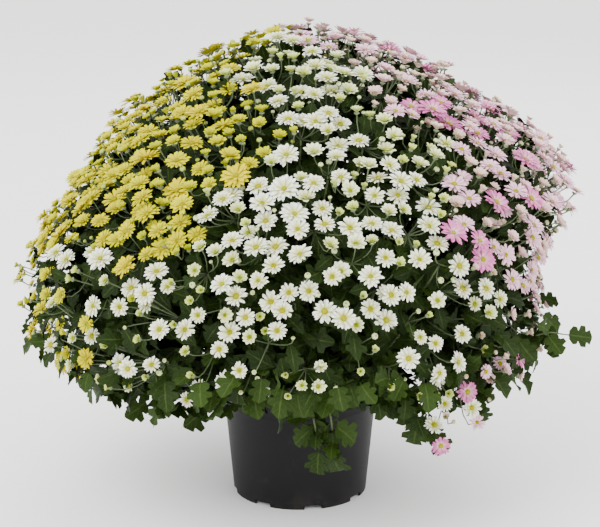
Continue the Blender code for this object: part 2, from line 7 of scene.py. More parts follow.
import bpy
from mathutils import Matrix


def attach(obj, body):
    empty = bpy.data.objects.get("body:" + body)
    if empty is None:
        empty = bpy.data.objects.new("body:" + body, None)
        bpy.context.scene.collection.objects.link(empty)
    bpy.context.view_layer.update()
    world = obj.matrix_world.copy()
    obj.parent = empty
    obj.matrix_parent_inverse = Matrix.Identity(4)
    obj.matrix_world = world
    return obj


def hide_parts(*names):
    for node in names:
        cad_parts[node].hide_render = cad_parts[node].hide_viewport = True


bl_info = {
    "name": "Pot Chrysanthemum",
    "version": (1, 0, 0),
    "blender": (4, 5, 0),
    "location": "3D View > Sidebar > Chrysanthemum",
    "description": "Grows a three-colour pot chrysanthemum round its solid model",
    "category": "Add Mesh",
}

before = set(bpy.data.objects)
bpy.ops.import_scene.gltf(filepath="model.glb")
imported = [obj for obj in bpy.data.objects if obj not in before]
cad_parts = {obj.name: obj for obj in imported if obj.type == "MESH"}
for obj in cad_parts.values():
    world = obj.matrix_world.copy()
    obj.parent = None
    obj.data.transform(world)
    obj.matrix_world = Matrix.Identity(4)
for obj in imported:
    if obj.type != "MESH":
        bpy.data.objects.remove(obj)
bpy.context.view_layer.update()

import math

import bpy
import numpy as np
from mathutils import Vector

# The pot, as in the solid model
POT_HEIGHT = 0.175
POT_BASE_RADIUS = 0.0975
POT_WALL_SLOPE = math.tan(math.radians(5.4))
POT_WALL = 0.0022
POT_LIP_HEIGHT = 0.014
POT_LIP_WIDTH = 0.0045
POT_FLOOR_HEIGHT = 0.008
POT_FLOOR_THICKNESS = 0.0025
FOOT_NOTCHES = 8
FOOT_NOTCH_WIDTH = 0.025
FOOT_NOTCH_HEIGHT = 0.006

# The pot's finer shape. Its rounded edges are steps out and up from the sharp corners that they soften, and
# the first notch stands a quarter of the notches' spacing round.
POT_CAP_RADIUS = 0.004
POT_FILLET = 0.002
RIM_ROUND = ((0.0, -0.0012), (0.0005, -0.0003), (0.0012, 0.0))
LIP_TOP_ROUND = ((-0.0014, 0.0), (-0.0004, -0.0004), (0.0, -0.0015))
LIP_BOTTOM_ROUND = ((0.0, 0.0012), (-0.0004, 0.0002), (-0.0014, 0.0))
LIP_ROOT_ROUND = ((0.0006, -0.0004), (0.0, -0.0016))
FOOT_ROUND = (0.0005, 0.0008)
NOTCH_TOP = 0.0062
WALL_HEIGHTS = (0.140, 0.139, 0.138, 0.10, 0.06, 0.03, 0.0075, NOTCH_TOP)
RIDGE_HEIGHT = 0.139
RIDGE = 0.0005
NOTCH_FIRST = 0.25
NOTCH_SIDE = 0.004
NOTCH_CLEARANCE = 0.006
POT_SIDES = 192

# The soil and the trunks, as in the solid model
SOIL_HEIGHT = 0.155
TRUNK_RADIUS = 0.008
TRUNK_RING = 0.045
TRUNK_TOP = 0.27

# Crumbs on the soil
CRUMBS = 420
CRUMB_REACH = 0.104
CRUMB_SIZES = (0.0012, 0.0042)
CRUMB_RINGS = (0.35, 1.0, 1.8, 2.7)
CRUMB_SIDES = 6
CRUMB_TILES = 4
CRUMB_SINK = 0.3
CRUMB_STRETCH = (0.5, 1.3)
CRUMB_FLAT = np.array([1.0, 1.0, 0.6])
CRUMB_ROUGH = (0.75, 1.25)

# The dome that the blooms lie on and how it leans, as in the solid model
DOME_HEIGHT = 0.413
DOME_RADIUS = 0.380
DOME_RISE = 0.276
DOME_DROP = 0.280
CROWN_POWER = 1.5
SKIRT_POWER = 3.5
LEAN = 0.028
LEAN_HEIGHT = 0.408
LEAN_BAND = 0.169
CROWN_SLOPE = 0.056
SLOPE_START = 0.133
SLOPE_BAND = 0.30
FRONT_LIFT = 0.085
LIFT_START = 0.30
LIFT_BAND = 0.17
LIFT_INNER = 0.12
LIFT_RING = 0.12

# The three plants: the degrees from +X where each one's sector starts and ends, at three heights
BORDER_HEIGHTS = (0.24, 0.42, 0.60)
PLANTS = {
    "yellow": ((97, 97, 97), (224, 243, 262)),
    "white": ((224, 243, 262), (298, 305, 314)),
    "pink": ((298, 305, 314), (457, 457, 457)),
}
PLANTS_MEET = (-0.02, 0.04)
YELLOW, WHITE, PINK = 0, 1, 2

# The solid model's blooms and forks
BLOOMS = 300
SPRAYS = 40
BLOOM_LAST_POLAR = math.radians(120)
FORK_LAST_POLAR = math.radians(118.5)
SOLID_BLOOM_RADIUS = 0.0190
BLOOM_SPREAD = 0.0012
BLOOM_GAP = 0.002
BLOOM_JITTER = 0.006
BLOOM_SINK = 0.010
PUSHES = 30
SEED = 17

# How many of the low blooms are only half open or buds, and below what height
LOW_HEIGHT = 0.45
LOW_BAND = 0.15
LOW_HALF_OPEN = 0.45
LOW_BUDS = 0.28

# Open blooms, half-open ones and buds: the room that a new one needs and that a found one takes, as shares of
# a bloom's radius, and the depths below the dome that it may have
OPEN, HALF, BUD = 0, 1, 2
ROOM_NEEDED = (0.74, 0.50, 0.33)
ROOM_TAKEN = (0.78, 0.50, 0.34)
DEPTHS = ((0.0, 0.020), (-0.002, 0.022), (-0.004, 0.034))

# The search for more places: points tried, how far they scatter, and how few are kept low down
TRIES_A_FLOWER = 5
TRIES_MORE = 60
FILL_LAST_POLAR = math.radians(121)
FILL_TURN = 0.02
FILL_JITTER = 0.004
FILL_LEAST = 0.10
FILL_HEIGHT = 0.30
FILL_BAND = 0.24
FILL_POWER = 1.3

# Flowers that hang low on the right: the plant, the kind and the place. They face away from HANGING_FROM.
HANGING = (
    (WHITE, OPEN, (0.232, -0.222, 0.200)),
    (PINK, OPEN, (0.240, -0.220, 0.178)),
    (WHITE, OPEN, (0.180, -0.246, 0.184)),
    (PINK, OPEN, (0.190, -0.240, 0.152)),
    (WHITE, OPEN, (0.194, -0.240, 0.212)),
    (WHITE, HALF, (0.180, -0.244, 0.228)),
    (PINK, OPEN, (0.226, -0.220, 0.222)),
    (PINK, BUD, (0.258, -0.205, 0.206)),
    (PINK, HALF, (0.196, -0.236, 0.192)),
    (PINK, OPEN, (0.256, -0.205, 0.236)),
    (PINK, BUD, (0.208, -0.232, 0.184)),
    (PINK, OPEN, (0.272, -0.190, 0.252)),
)
HANGING_FROM = (0.12, 0.0, 0.25)

# Where flowers of the white plant lean over the yellow one's border: from this angle on, below this height
CROSSING_ANGLE = math.radians(214)
CROSSING_HEIGHT = 0.42
CROSSING_SHARE = 0.65

# How flowers face and how old they are: those of the crown are younger
FACE_SCATTER = 0.17
YOUNGEST = 0.10
AGE_POWER = 0.75
CROWN_YOUTH = 0.9
CROWN_HEIGHT = 0.44
CROWN_BAND = 0.22

# Leafy stems, from the trunk to a little below the blooms
STEM_LAST_POLAR = math.radians(119)
STEM_DEPTHS = (0.032, 0.058)
STEM_MARGIN = 0.002
STEM_REACH = 0.045
STEM_ROOTS = (SOIL_HEIGHT + 0.015, TRUNK_TOP - 0.03)
STEM_ROOT_SCATTER = 0.004
STEM_ARCH = (0.62, 0.62, 0.30)
STEM_ARCH_SCATTER = 0.012
STEM_STEPS = 12
STEM_RADII = (0.0030, 0.0013)
STEM_SIDES = 6
SHOOT_STEPS = 16
SHOOT_RADII = (0.0018, 0.0010)
TRUNK_STEPS = 14
TRUNK_SIDES = 12
TRUNK_SWAY = 0.002
TRUNK_SWAY_TURNS = (40, 31)
TRUNK_FLARE = (0.86, 0.35)
TRUNK_FLARE_BAND = 0.01
TRUNK_TAPER = 0.55
TRUNK_SUNK = 0.02

# Leafy shoots: the plant, the route, then each leaf's place on it, its way and its length. The solid model
# has the first two.
SHOOTS = (
    (
        "white",
        ((0.020, -0.205, 0.300), (0.034, -0.258, 0.240), (0.042, -0.268, 0.195), (0.045, -0.250, 0.150)),
        (
            (1, (-0.80, -0.30, -0.45), 0.036),
            (1, (0.85, -0.25, -0.30), 0.036),
            (2, (-0.75, 0.10, -0.65), 0.038),
            (2, (0.80, 0.10, -0.60), 0.038),
            (3, (0.05, 0.25, -0.97), 0.040),
        ),
    ),
    (
        "pink",
        ((0.210, -0.101, 0.280), (0.292, -0.126, 0.264), (0.340, -0.132, 0.278), (0.366, -0.132, 0.276)),
        (
            (1, (0.75, -0.55, -0.35), 0.034),
            (1, (0.60, 0.70, -0.20), 0.034),
            (2, (0.55, -0.60, -0.55), 0.030),
            (3, (0.98, 0.05, -0.15), 0.034),
        ),
    ),
    (
        "white",
        ((0.000, -0.200, 0.280), (0.012, -0.250, 0.228), (0.020, -0.266, 0.190), (0.026, -0.262, 0.158)),
        (
            (1, (-0.85, -0.20, -0.40), 0.034),
            (1, (0.60, -0.40, -0.70), 0.030),
            (2, (-0.80, -0.10, -0.60), 0.030),
            (2, (0.65, -0.20, -0.70), 0.026),
            (3, (-0.15, 0.10, -0.98), 0.034),
        ),
    ),
    (
        "white",
        ((0.110, -0.190, 0.270), (0.140, -0.225, 0.222), (0.160, -0.232, 0.190), (0.178, -0.230, 0.172)),
        (
            (1, (-0.60, -0.10, -0.80), 0.034),
            (1, (0.10, -0.30, -0.95), 0.036),
            (2, (-0.20, 0.00, -0.98), 0.036),
            (2, (0.55, -0.30, -0.75), 0.030),
            (3, (0.45, 0.00, -0.90), 0.034),
        ),
    ),
    (
        "pink",
        ((0.200, -0.150, 0.290), (0.228, -0.180, 0.245), (0.240, -0.190, 0.215), (0.246, -0.190, 0.195)),
        (
            (1, (0.80, -0.30, -0.50), 0.028),
            (2, (-0.70, -0.30, -0.60), 0.026),
            (3, (0.30, 0.10, -0.95), 0.026),
        ),
    ),
)
SHOOT_LEAF_MORE = 0.008
SHOOT_SMALL_STEPS = [5, 6, 7, 8, 9, 10, 11, 13, 14]
SHOOT_SMALL_SIZES = (0.016, 0.036)
SHOOT_SMALL_WAY = (0.0, -0.5, -0.5)
SHOOT_FACING = (0.0, -0.8, 0.7)

# A leaf's rows: their places along it, half widths and how far the edge is set forward, as shares of its
# length, and how much it arches, folds, waves and leans
LEAF_ALONG = np.array([0.0, 0.17, 0.21, 0.30, 0.39, 0.45, 0.54, 0.65, 0.71, 0.86, 1.0])
LEAF_WIDTH = np.array([0.018, 0.022, 0.155, 0.325, 0.300, 0.175, 0.395, 0.400, 0.210, 0.270, 0.10])
LEAF_FORE = np.array([0.0, 0.0, -0.03, 0.00, 0.05, 0.04, 0.03, 0.09, 0.06, 0.04, -0.03])
LEAF_ACROSS = np.linspace(-1, 1, 5)
LEAF_ARCH = (0.10, 0.42)
LEAF_FOLD = (0.10, 0.50)
LEAF_WAVE = 0.030
LEAF_LEAN = 0.10
LEAF_RIPPLES = 9
BLADE_START = 0.17
BLADE_RISE = 0.3

# Leaves along a stem: where they start, how far each may slip, how they rise, spread, droop and face, and
# how they shrink towards the top
STEM_LEAF_START = 0.36
STEM_LEAF_SLIP = 0.8
STEM_LEAF_RISE = (0.15, 0.75)
STEM_LEAF_OUT = 0.35
STEM_LEAF_DROOP = 0.22
STEM_LEAF_WAY = 0.15
STEM_LEAF_FACING = (0.9, 0.7)
STEM_LEAF_FACE = 0.25
STEM_LEAF_SHRINK = (1.02, 0.42)
STEM_LEAF_SIZES = (0.80, 1.10)

# Leaves round the skirt, in uneven rows: degrees from straight up, how many, and their depth below the dome.
# Then how far each may slip, tilt and sink, the degrees that it hangs at, how it faces, and its size.
SKIRT_ROWS = ((112, 70, 0.012), (119, 74, 0.016), (126, 64, 0.024), (134, 46, 0.024), (143, 30, 0.022))
SKIRT_SLIP = 0.4
SKIRT_TILT = 2.0
SKIRT_SINK = (-0.006, 0.020)
SKIRT_HANG = (92, 150)
SKIRT_WAY = 0.38
SKIRT_UP = 0.8
SKIRT_FACE = 0.45
SKIRT_SIZES = (0.62, 1.08)

# The dense inside: how far round its leaves reach, how deep and how low they lie, how they point and face,
# and how they grow with their depth
INNER_LAST_POLAR = math.radians(140)
INNER_DEPTHS = (0.024, 0.102)
INNER_LOWEST = 0.205
INNER_TURN = 0.03
INNER_OUT = 0.3
INNER_UP = 0.3
INNER_FACE = 0.35
INNER_SIZE = 0.55
INNER_SIZE_DEPTH = 5.0

# Stalks: how far below a flower's centre the stalk of each kind ends, the green cup's radius and height
# there, the cup's rings as shares of its height and radius, and how a stalk bows and thickens at its ends
STALK_ENDS = (0.0052, 0.0046, 0.0040)
CUP_RADII = (0.0042, 0.0036, 0.0026)
CUP_HEIGHTS = (0.0034, 0.0036, 0.0028)
CUP_RINGS = ((0.35, 0.62), (0.75, 0.92), (1.0, 1.0))
STALK_STEPS = 5
STALK_SIDES = 5
STALK_BOW = 0.45
STALK_KNOT = 1.3

# Each row of petals: count, share of the length, slope at the base and the tip, half width, height
RIPE_ROWS = (
    (17, 1.00, math.radians(14), math.radians(-10), 0.145, 0.0002),
    (13, 0.90, math.radians(30), math.radians(2), 0.165, 0.0008),
    (7, 0.66, math.radians(52), math.radians(20), 0.20, 0.0012),
)
YOUNG_ROWS = (
    (11, 1.00, math.radians(24), math.radians(4), 0.23, 0.0002),
    (9, 0.88, math.radians(42), math.radians(18), 0.24, 0.0008),
    (5, 0.66, math.radians(62), math.radians(40), 0.26, 0.0012),
)
HALF_ROWS = (
    (9, 1.0, math.radians(40), math.radians(20), 0.28, 0.0),
    (6, 0.8, math.radians(60), math.radians(45), 0.30, 0.0004),
)
RIPE_AGE = 0.45

# A petal's rows along it and its blunt spoon's half widths there, its slopes when shut, how unlike its
# neighbours it may be, the cup of its edges, and how far its tip's corners are set back
PETAL_ALONG = np.array([0.0, 0.38, 0.78, 1.0])
PETAL_WIDTH = np.array([0.42, 0.88, 1.0, 0.52])
PETAL_COLUMNS = np.array([-1.0, 0.0, 1.0])
SHUT_BASE = math.radians(84)
SHUT_TIP = math.radians(76)
TURN_SCATTER = 0.10
BASE_SCATTER = 0.07
TIP_SCATTER = 0.13
LENGTH_SCATTER = 0.07
PETAL_CUP = 0.16
PETAL_NOTCH = 0.10

# An open bloom's openness, size and disc by its age; low blooms are smaller and strong ones larger. Last the
# numbers, of the sixteen that the map has, that open blooms' ages start from and span, and the oldest.
OPENNESS_YOUNG = 0.58
OPENNESS_MORE = 0.55
SIZE_YOUNG = 0.60
SIZE_MORE = 0.32
SIZE_RIPENING = 1.5
SIZE_LOW = 0.76
SIZE_LOW_HEIGHT = 0.30
SIZE_LOW_BAND = 0.18
SIZE_SPREAD = (0.82, 1.14)
CORE_YOUNG = 0.0018
CORE_MORE = 0.0018
CORE_SPREAD = (0.9, 1.15)
STRONG_SIZE = 1.25
STRONG_AGE = 0.9
FIRST_OPEN_AGE = 3
OPEN_AGES = 10
OLDEST_AGE = 15

# A half-open bloom's openness, size and disc
HALF_OPENNESS = (0.25, 0.75)
HALF_SIZES = (0.42, 0.62)
HALF_CORE = 0.0014

# A disc's rings, as degrees up from its edge, and its width, height and lift
DISC_RINGS = (-25, 20, 52, 78)
DISC_SIDES = 8
DISC_WIDTH = 1.12
DISC_HEIGHT = 0.62
DISC_LIFT = 0.0012

# A bud's rings, as degrees from its top, its sizes, and how tall and how far sunk it is as shares of its size
BUD_RINGS = (158, 125, 95, 65, 38, 16)
BUD_SIDES = 8
BUD_SIZES = (0.0024, 0.0046)
BUD_TALL = 0.92
BUD_SINK = 0.2

# The camera, which stands at the photograph's angle
CAMERA_PLACE = (0.0, -2.8, 1.1143)
CAMERA_PITCH = math.radians(15.43)
CAMERA_LENS = 120.9
PHOTO_SIZE = (600, 527)
SENSOR_WIDTH = 36.0

# Blooms of a stronger pink: where the photograph shows some, in its pixels, and what share of the others
STRONG_PINKS = (
    (418, 103), (435, 107), (447, 103), (455, 121), (455, 228), (478, 245), (490, 278), (583, 160)
)
STRONG_SHARE = 0.05
STRONG_MORE_LOW = 0.30
STRONG_LOW_HEIGHT = 0.34
STRONG_LOW_BAND = 0.08
FACES_AWAY = 0.15

# The lights: name, place, size and the setting that holds the power
LIGHTS = (
    ("key", (-1.6, -2.2, 2.9), 2.2, "key"),
    ("fill", (2.4, -1.5, 1.6), 2.0, "fill"),
    ("back", (0.6, 2.6, 2.4), 2.0, "fill"),
)
LIGHTS_AIM = (0.0, 0.0, 0.38)
FLOOR_REACH = 30.0

# Tints along the petals of each plant: young, old, near the disc, and how far along the last one reaches
PETAL_TINTS = {
    "yellow": ((0.47, 0.51, 0.01), (0.58, 0.50, 0.0), (0.47, 0.40, 0.0), 0.62),
    "white": ((0.62, 0.70, 0.26), (0.92, 0.92, 0.88), (0.46, 0.52, 0.0), 0.95),
    "pink": ((0.70, 0.56, 0.42), (0.62, 0.17, 0.40), (0.78, 0.56, 0.50), 0.62),
}
BUD_TINTS = {"yellow": (0.40, 0.46, 0.06), "white": (0.56, 0.62, 0.30), "pink": (0.54, 0.45, 0.30)}
YOUNG_DISC = (0.24, 0.31, 0.005)
SEPAL = (0.09, 0.14, 0.045)
BUD_EYE = (0.16, 0.17, 0.03)
LEAF_VEIN = (0.13, 0.18, 0.04)
STALK_FOOT = (0.045, 0.065, 0.025)
BARK_FOOT = (0.03, 0.034, 0.016)
BARK_TOP = (0.065, 0.09, 0.032)
POT_SCUFF = (0.10, 0.095, 0.09)
POT_DUST = (0.07, 0.06, 0.05)
SOIL_DARK = (0.018, 0.011, 0.007)
SOIL_LIGHT = (0.075, 0.048, 0.028)
SOIL_FIBRE = (0.16, 0.11, 0.06)

# Tiles across a piece's map: sixteen ages of a bloom in two tints each, and the tints of a leaf and a stalk.
# Inner leaves take the first few, darkest of a leaf's tints as painted shade, outer ones those from
# OUTER_LEAF_TILE on.
PETAL_TILES = 32
LEAF_TILES = 8
SHADED_INNER_LEAF_TILES = 3
OUTER_LEAF_TILE = 2
STALK_TILES = 4
TILE_MARGIN = 0.04
END_MARGIN = 0.01
CAP_WIDTH = 0.45
CAP_DEPTH = 0.03
MAP_NAME = "OFBake"

# How stalks, stems and inner leaves vary in size, and what the functions below share
SIZE_VARIES = (0.85, 1.15)
GOLDEN_ANGLE = math.pi * (3 - math.sqrt(5))
SPIRAL_STEPS = 600
SECTOR_PASSES = 3
UP = np.array([0.0, 0.0, 1.0])
RIGHT = np.array([1.0, 0.0, 0.0])
PETAL_START = np.array([0.3, -0.9, 0.3])
NEARLY_ALONG = 0.15
NEARLY_UPRIGHT = 0.8


def unit(vectors):
    """The vectors, each divided by its length."""
    return vectors / np.maximum(np.linalg.norm(vectors, axis=-1, keepdims=True), 1e-12)


def ramp(values, start, span):
    """0 up to start, 1 from start + span on, and an even rise between; a negative span rises downwards."""
    return np.clip((values - start) / span, 0, 1)


def square_to(ways, vectors):
    """The part of each vector that is square to its way: the vector less its dot product along the way."""
    return vectors - (vectors * ways).sum(-1, keepdims=True) * ways


def direction(polar, azimuth):
    """The unit vector at a polar angle from straight up and an azimuth from +X."""
    return np.stack(
        [np.sin(polar) * np.cos(azimuth), np.sin(polar) * np.sin(azimuth), np.cos(polar)], axis=-1
    )


def dome_reach(u):
    """Distance from the dome's centre to its surface along u: (|flat|/radius)^p + (|height|/rise)^p = 1."""
    flat = np.hypot(u[..., 0], u[..., 1])
    rise = np.where(u[..., 2] > 0, DOME_RISE, DOME_DROP)
    power = np.where(u[..., 2] > 0, CROWN_POWER, SKIRT_POWER)
    return ((flat / DOME_RADIUS) ** power + (np.abs(u[..., 2]) / rise) ** power) ** (-1 / power)


def dome_normal(u):
    """The way that the surface faces along u: the gradient of the same superellipse."""
    flat = np.maximum(np.hypot(u[..., 0], u[..., 1]), 1e-6)
    rise = np.where(u[..., 2] > 0, DOME_RISE, DOME_DROP)
    power = np.where(u[..., 2] > 0, CROWN_POWER, SKIRT_POWER)
    out = flat ** (power - 1) / DOME_RADIUS**power
    up = np.sign(u[..., 2]) * np.abs(u[..., 2]) ** (power - 1) / rise**power
    return unit(np.stack([out * u[..., 0] / flat, out * u[..., 1] / flat, up], axis=-1))


def leaned(points):
    """The points as the plants grew them, leaning right at mid height and lifted over the pot's front."""
    x, y, z = points[..., 0], points[..., 1], points[..., 2]
    swing = np.clip((z - LEAN_HEIGHT) / LEAN_BAND, -1, 1)
    wide = x + LEAN * np.sin(np.pi * swing) * np.abs(x) / DOME_RADIUS
    tall = z + CROWN_SLOPE * x * ramp(z, SLOPE_START, SLOPE_BAND)
    flat = np.maximum(np.hypot(x, y), 1e-6)
    front = np.clip(-y / flat, 0, 1) ** 3 * ramp(flat, LIFT_INNER, LIFT_RING)
    tall = tall + FRONT_LIFT * front * ramp(z, LIFT_START, -LIFT_BAND)
    return np.stack([wide, y, tall], axis=-1)


def place(u, depth):
    """The point along u from the dome's centre, at a depth below the blooms."""
    reach = dome_reach(u) - depth
    return leaned(u * reach[..., None] + DOME_HEIGHT * UP)


def spiral(count, last_polar):
    """Directions spread evenly over the dome's area, each a golden angle round from the one before."""
    polar = np.linspace(1e-3, last_polar, SPIRAL_STEPS)
    reach = dome_reach(direction(polar, 0 * polar))
    radius, height = reach * np.sin(polar), reach * np.cos(polar)
    strip = np.hypot(np.diff(radius), np.diff(height)) * (radius[1:] + radius[:-1]) * math.pi
    area = np.concatenate([[0.0], np.cumsum(strip)])
    share = (np.arange(count) + 0.5) / count
    return direction(np.interp(share * area[-1], area, polar), GOLDEN_ANGLE * np.arange(count))


def sector(plant, heights):
    """Where a plant's sector starts and ends at each height: its borders turn as they rise."""
    return [np.radians(np.interp(heights, BORDER_HEIGHTS, turns)) for turns in PLANTS[plant]]


def plant_of(points):
    """The number of the plant, in the order of PLANTS, in whose sector each point lies."""
    azimuth = np.arctan2(points[:, 1] - PLANTS_MEET[1], points[:, 0] - PLANTS_MEET[0])
    found = np.zeros(len(points), int)
    for number, plant in enumerate(PLANTS):
        start, end = sector(plant, points[:, 2])
        found[(azimuth - start) % (2 * math.pi) < end - start] = number
    return found


def inside_sector(points, plants, margin):
    """The points, moved level until each is at least margin inside its plant's sector."""
    points = points.copy()
    edges = np.array([sector(plant, points[:, 2]) for plant in PLANTS])
    start, end = edges[plants, :, np.arange(len(points))].T
    normals = (np.stack([-np.sin(start), np.cos(start)], -1), np.stack([np.sin(end), -np.cos(end)], -1))
    for _ in range(SECTOR_PASSES):
        depths = [((points[:, :2] - PLANTS_MEET) * normal).sum(-1) for normal in normals]
        for depth, normal in zip(depths, normals):
            points[:, :2] += np.maximum(margin - depth, 0.0)[:, None] * normal
    return points


def pushed_apart(points, least):
    """The points after a few passes that move each too close pair apart along the line between them."""
    points = points.copy()
    for _ in range(PUSHES):
        apart = points[:, None] - points[None]
        distance = np.linalg.norm(apart, axis=-1) + np.eye(len(points))
        short = np.clip(least - distance, 0, None) * (1 - np.eye(len(points)))
        points += (apart / distance[..., None] * short[..., None] * 0.5).sum(axis=1)
    return points


def frames(ways, near=UP):
    """Two unit vectors square to each way, the first as near as it can be to the given direction."""
    near = np.broadcast_to(near, ways.shape)
    first = square_to(ways, near)
    weak = np.linalg.norm(first, axis=-1) < NEARLY_ALONG
    first = unit(np.where(weak[..., None], square_to(ways, np.broadcast_to(RIGHT, ways.shape)), first))
    return first, np.cross(ways, first)


def circles(first, second, sides):
    """Points round a unit circle for each pair of vectors: cos(angle) * first + sin(angle) * second."""
    angle = np.linspace(0, 2 * math.pi, sides, endpoint=False)[:, None]
    return np.cos(angle) * first[..., None, :] + np.sin(angle) * second[..., None, :]


def bend(start, middle, end, steps):
    """Points along each curve start to end that is pulled towards middle: a quadratic Bezier in each row."""
    t = np.linspace(0, 1, steps)[None, :, None]
    start, middle, end = start[:, None], middle[:, None], end[:, None]
    return (1 - t) ** 2 * start + 2 * t * (1 - t) * middle + t**2 * end


def polyline(points, steps):
    """A smooth curve through a few points: each coordinate is a Catmull-Rom spline of the point's number."""
    points = np.array(points, float)
    padded = np.concatenate([[2 * points[0] - points[1]], points, [2 * points[-1] - points[-2]]])
    along = np.linspace(0, len(points) - 1, steps)
    k = np.minimum(along.astype(int), len(points) - 2)
    t = (along - k)[:, None]
    a, b, c, d = padded[k], padded[k + 1], padded[k + 2], padded[k + 3]
    return 0.5 * (2 * b + (c - a) * t + (2 * a - 5 * b + 4 * c - d) * t**2 + (3 * b - a - 3 * c + d) * t**3)


def photo_pixels(points):
    """Where the camera sees each point, in the photograph's pixels: offset over depth, times the lens."""
    ahead = np.array([0.0, math.cos(CAMERA_PITCH), -math.sin(CAMERA_PITCH)])
    up = np.array([0.0, math.sin(CAMERA_PITCH), math.cos(CAMERA_PITCH)])
    offset = points - CAMERA_PLACE
    scale = CAMERA_LENS / SENSOR_WIDTH * PHOTO_SIZE[0] / (offset @ ahead)
    return np.stack([PHOTO_SIZE[0] / 2 + scale * offset[:, 0], PHOTO_SIZE[1] / 2 - scale * (offset @ up)], -1)


class Surface:
    """Grids of points gathered into one mesh, with a map that holds a tint's tile across and t along."""

    def __init__(self):
        self.points, self.corners, self.sizes, self.maps = [], [], [], []
        self.count = 0

    def add(self, points, tile, tiles, closed=False, along=None):
        """Adds copies of a grid: points is copies x rows x columns x 3, and tile gives each copy's tint.

        A closed grid joins its last column to its first and gets a cap at each end. The map leaves a margin
        on both sides of a tile and at both ends.
        """
        copies, rows, columns, _ = points.shape
        spans = columns if closed else columns - 1
        row, column = np.meshgrid(np.arange(rows - 1), np.arange(spans), indexing="ij")
        rows_of = row.ravel()[:, None] + np.array([0, 0, 1, 1])
        columns_of = column.ravel()[:, None] + np.array([0, 1, 1, 0])
        starts = self.count + np.arange(copies)[:, None, None] * rows * columns
        along = np.linspace(0, 1, rows) if along is None else along
        corners = starts + rows_of * columns + columns_of % columns
        self._add_faces(corners, columns_of / spans, along[rows_of], tile, tiles)
        if closed:
            ring = np.arange(columns)
            angle = 2 * math.pi * ring / columns
            across = 0.5 + CAP_WIDTH * np.cos(angle)
            inward = CAP_DEPTH * (1 + np.sin(angle)) / 2
            for end, order, up in ((0, ring[::-1], inward), (rows - 1, ring, 1 - inward)):
                corners = starts + (end * columns + order)[None]
                self._add_faces(corners, across[order][None], up[order][None], tile, tiles)
        self.points.append(points.reshape(-1, 3))
        self.count += copies * rows * columns

    def _add_faces(self, corners, across, along, tile, tiles):
        copies, faces, size = corners.shape
        tile = np.broadcast_to(np.asarray(tile), (copies,))[:, None, None]
        u = (tile + TILE_MARGIN + (1 - 2 * TILE_MARGIN) * across[None]) / tiles
        v = np.broadcast_to(END_MARGIN + (1 - 2 * END_MARGIN) * along[None], u.shape)
        self.corners.append(corners.reshape(-1))
        self.sizes.append(np.full(copies * faces, size))
        self.maps.append(np.stack([u, v], -1).reshape(-1, 2))

    def mesh(self, name):
        """The gathered grids as one smooth shaded mesh."""
        sizes = np.concatenate(self.sizes)
        corners = np.concatenate(self.corners)
        me = bpy.data.meshes.new(name)
        me.vertices.add(self.count)
        me.vertices.foreach_set("co", np.concatenate(self.points).astype(np.float32).ravel())
        me.loops.add(len(corners))
        me.loops.foreach_set("vertex_index", corners.astype(np.int32))
        me.polygons.add(len(sizes))
        me.polygons.foreach_set("loop_start", (np.cumsum(sizes) - sizes).astype(np.int32))
        me.polygons.foreach_set("use_smooth", np.ones(len(sizes), bool))
        layer = me.uv_layers.new(name=MAP_NAME, do_init=False)
        layer.data.foreach_set("uv", np.concatenate(self.maps).astype(np.float32).ravel())
        me.update(calc_edges=True)
        me.validate()
        return me


def new_piece(name, surface, material, nodes=()):
    """A piece that rides on the plant's one body, takes the given material and stands for the nodes."""
    old = bpy.data.objects.get(name)
    if old:
        bpy.data.objects.remove(old, do_unlink=True)
    obj = bpy.data.objects.new(name, surface.mesh(name))
    bpy.context.scene.collection.objects.link(obj)
    obj.data.materials.append(material)
    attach(obj, "root")
    if nodes:
        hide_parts(*nodes)
    return obj


def tubes(paths, radii, sides):
    """Round tubes: each ring is the path's point plus the radius times a circle square to the path."""
    tangent = unit(np.gradient(paths, axis=1))
    mean = unit(tangent.mean(axis=1))
    near = np.where(np.abs(mean[:, 2:]) < NEARLY_UPRIGHT, UP, RIGHT)
    first, second = frames(tangent, np.broadcast_to(near[:, None], tangent.shape))
    return paths[:, :, None] + radii[..., None, None] * circles(first, second, sides)


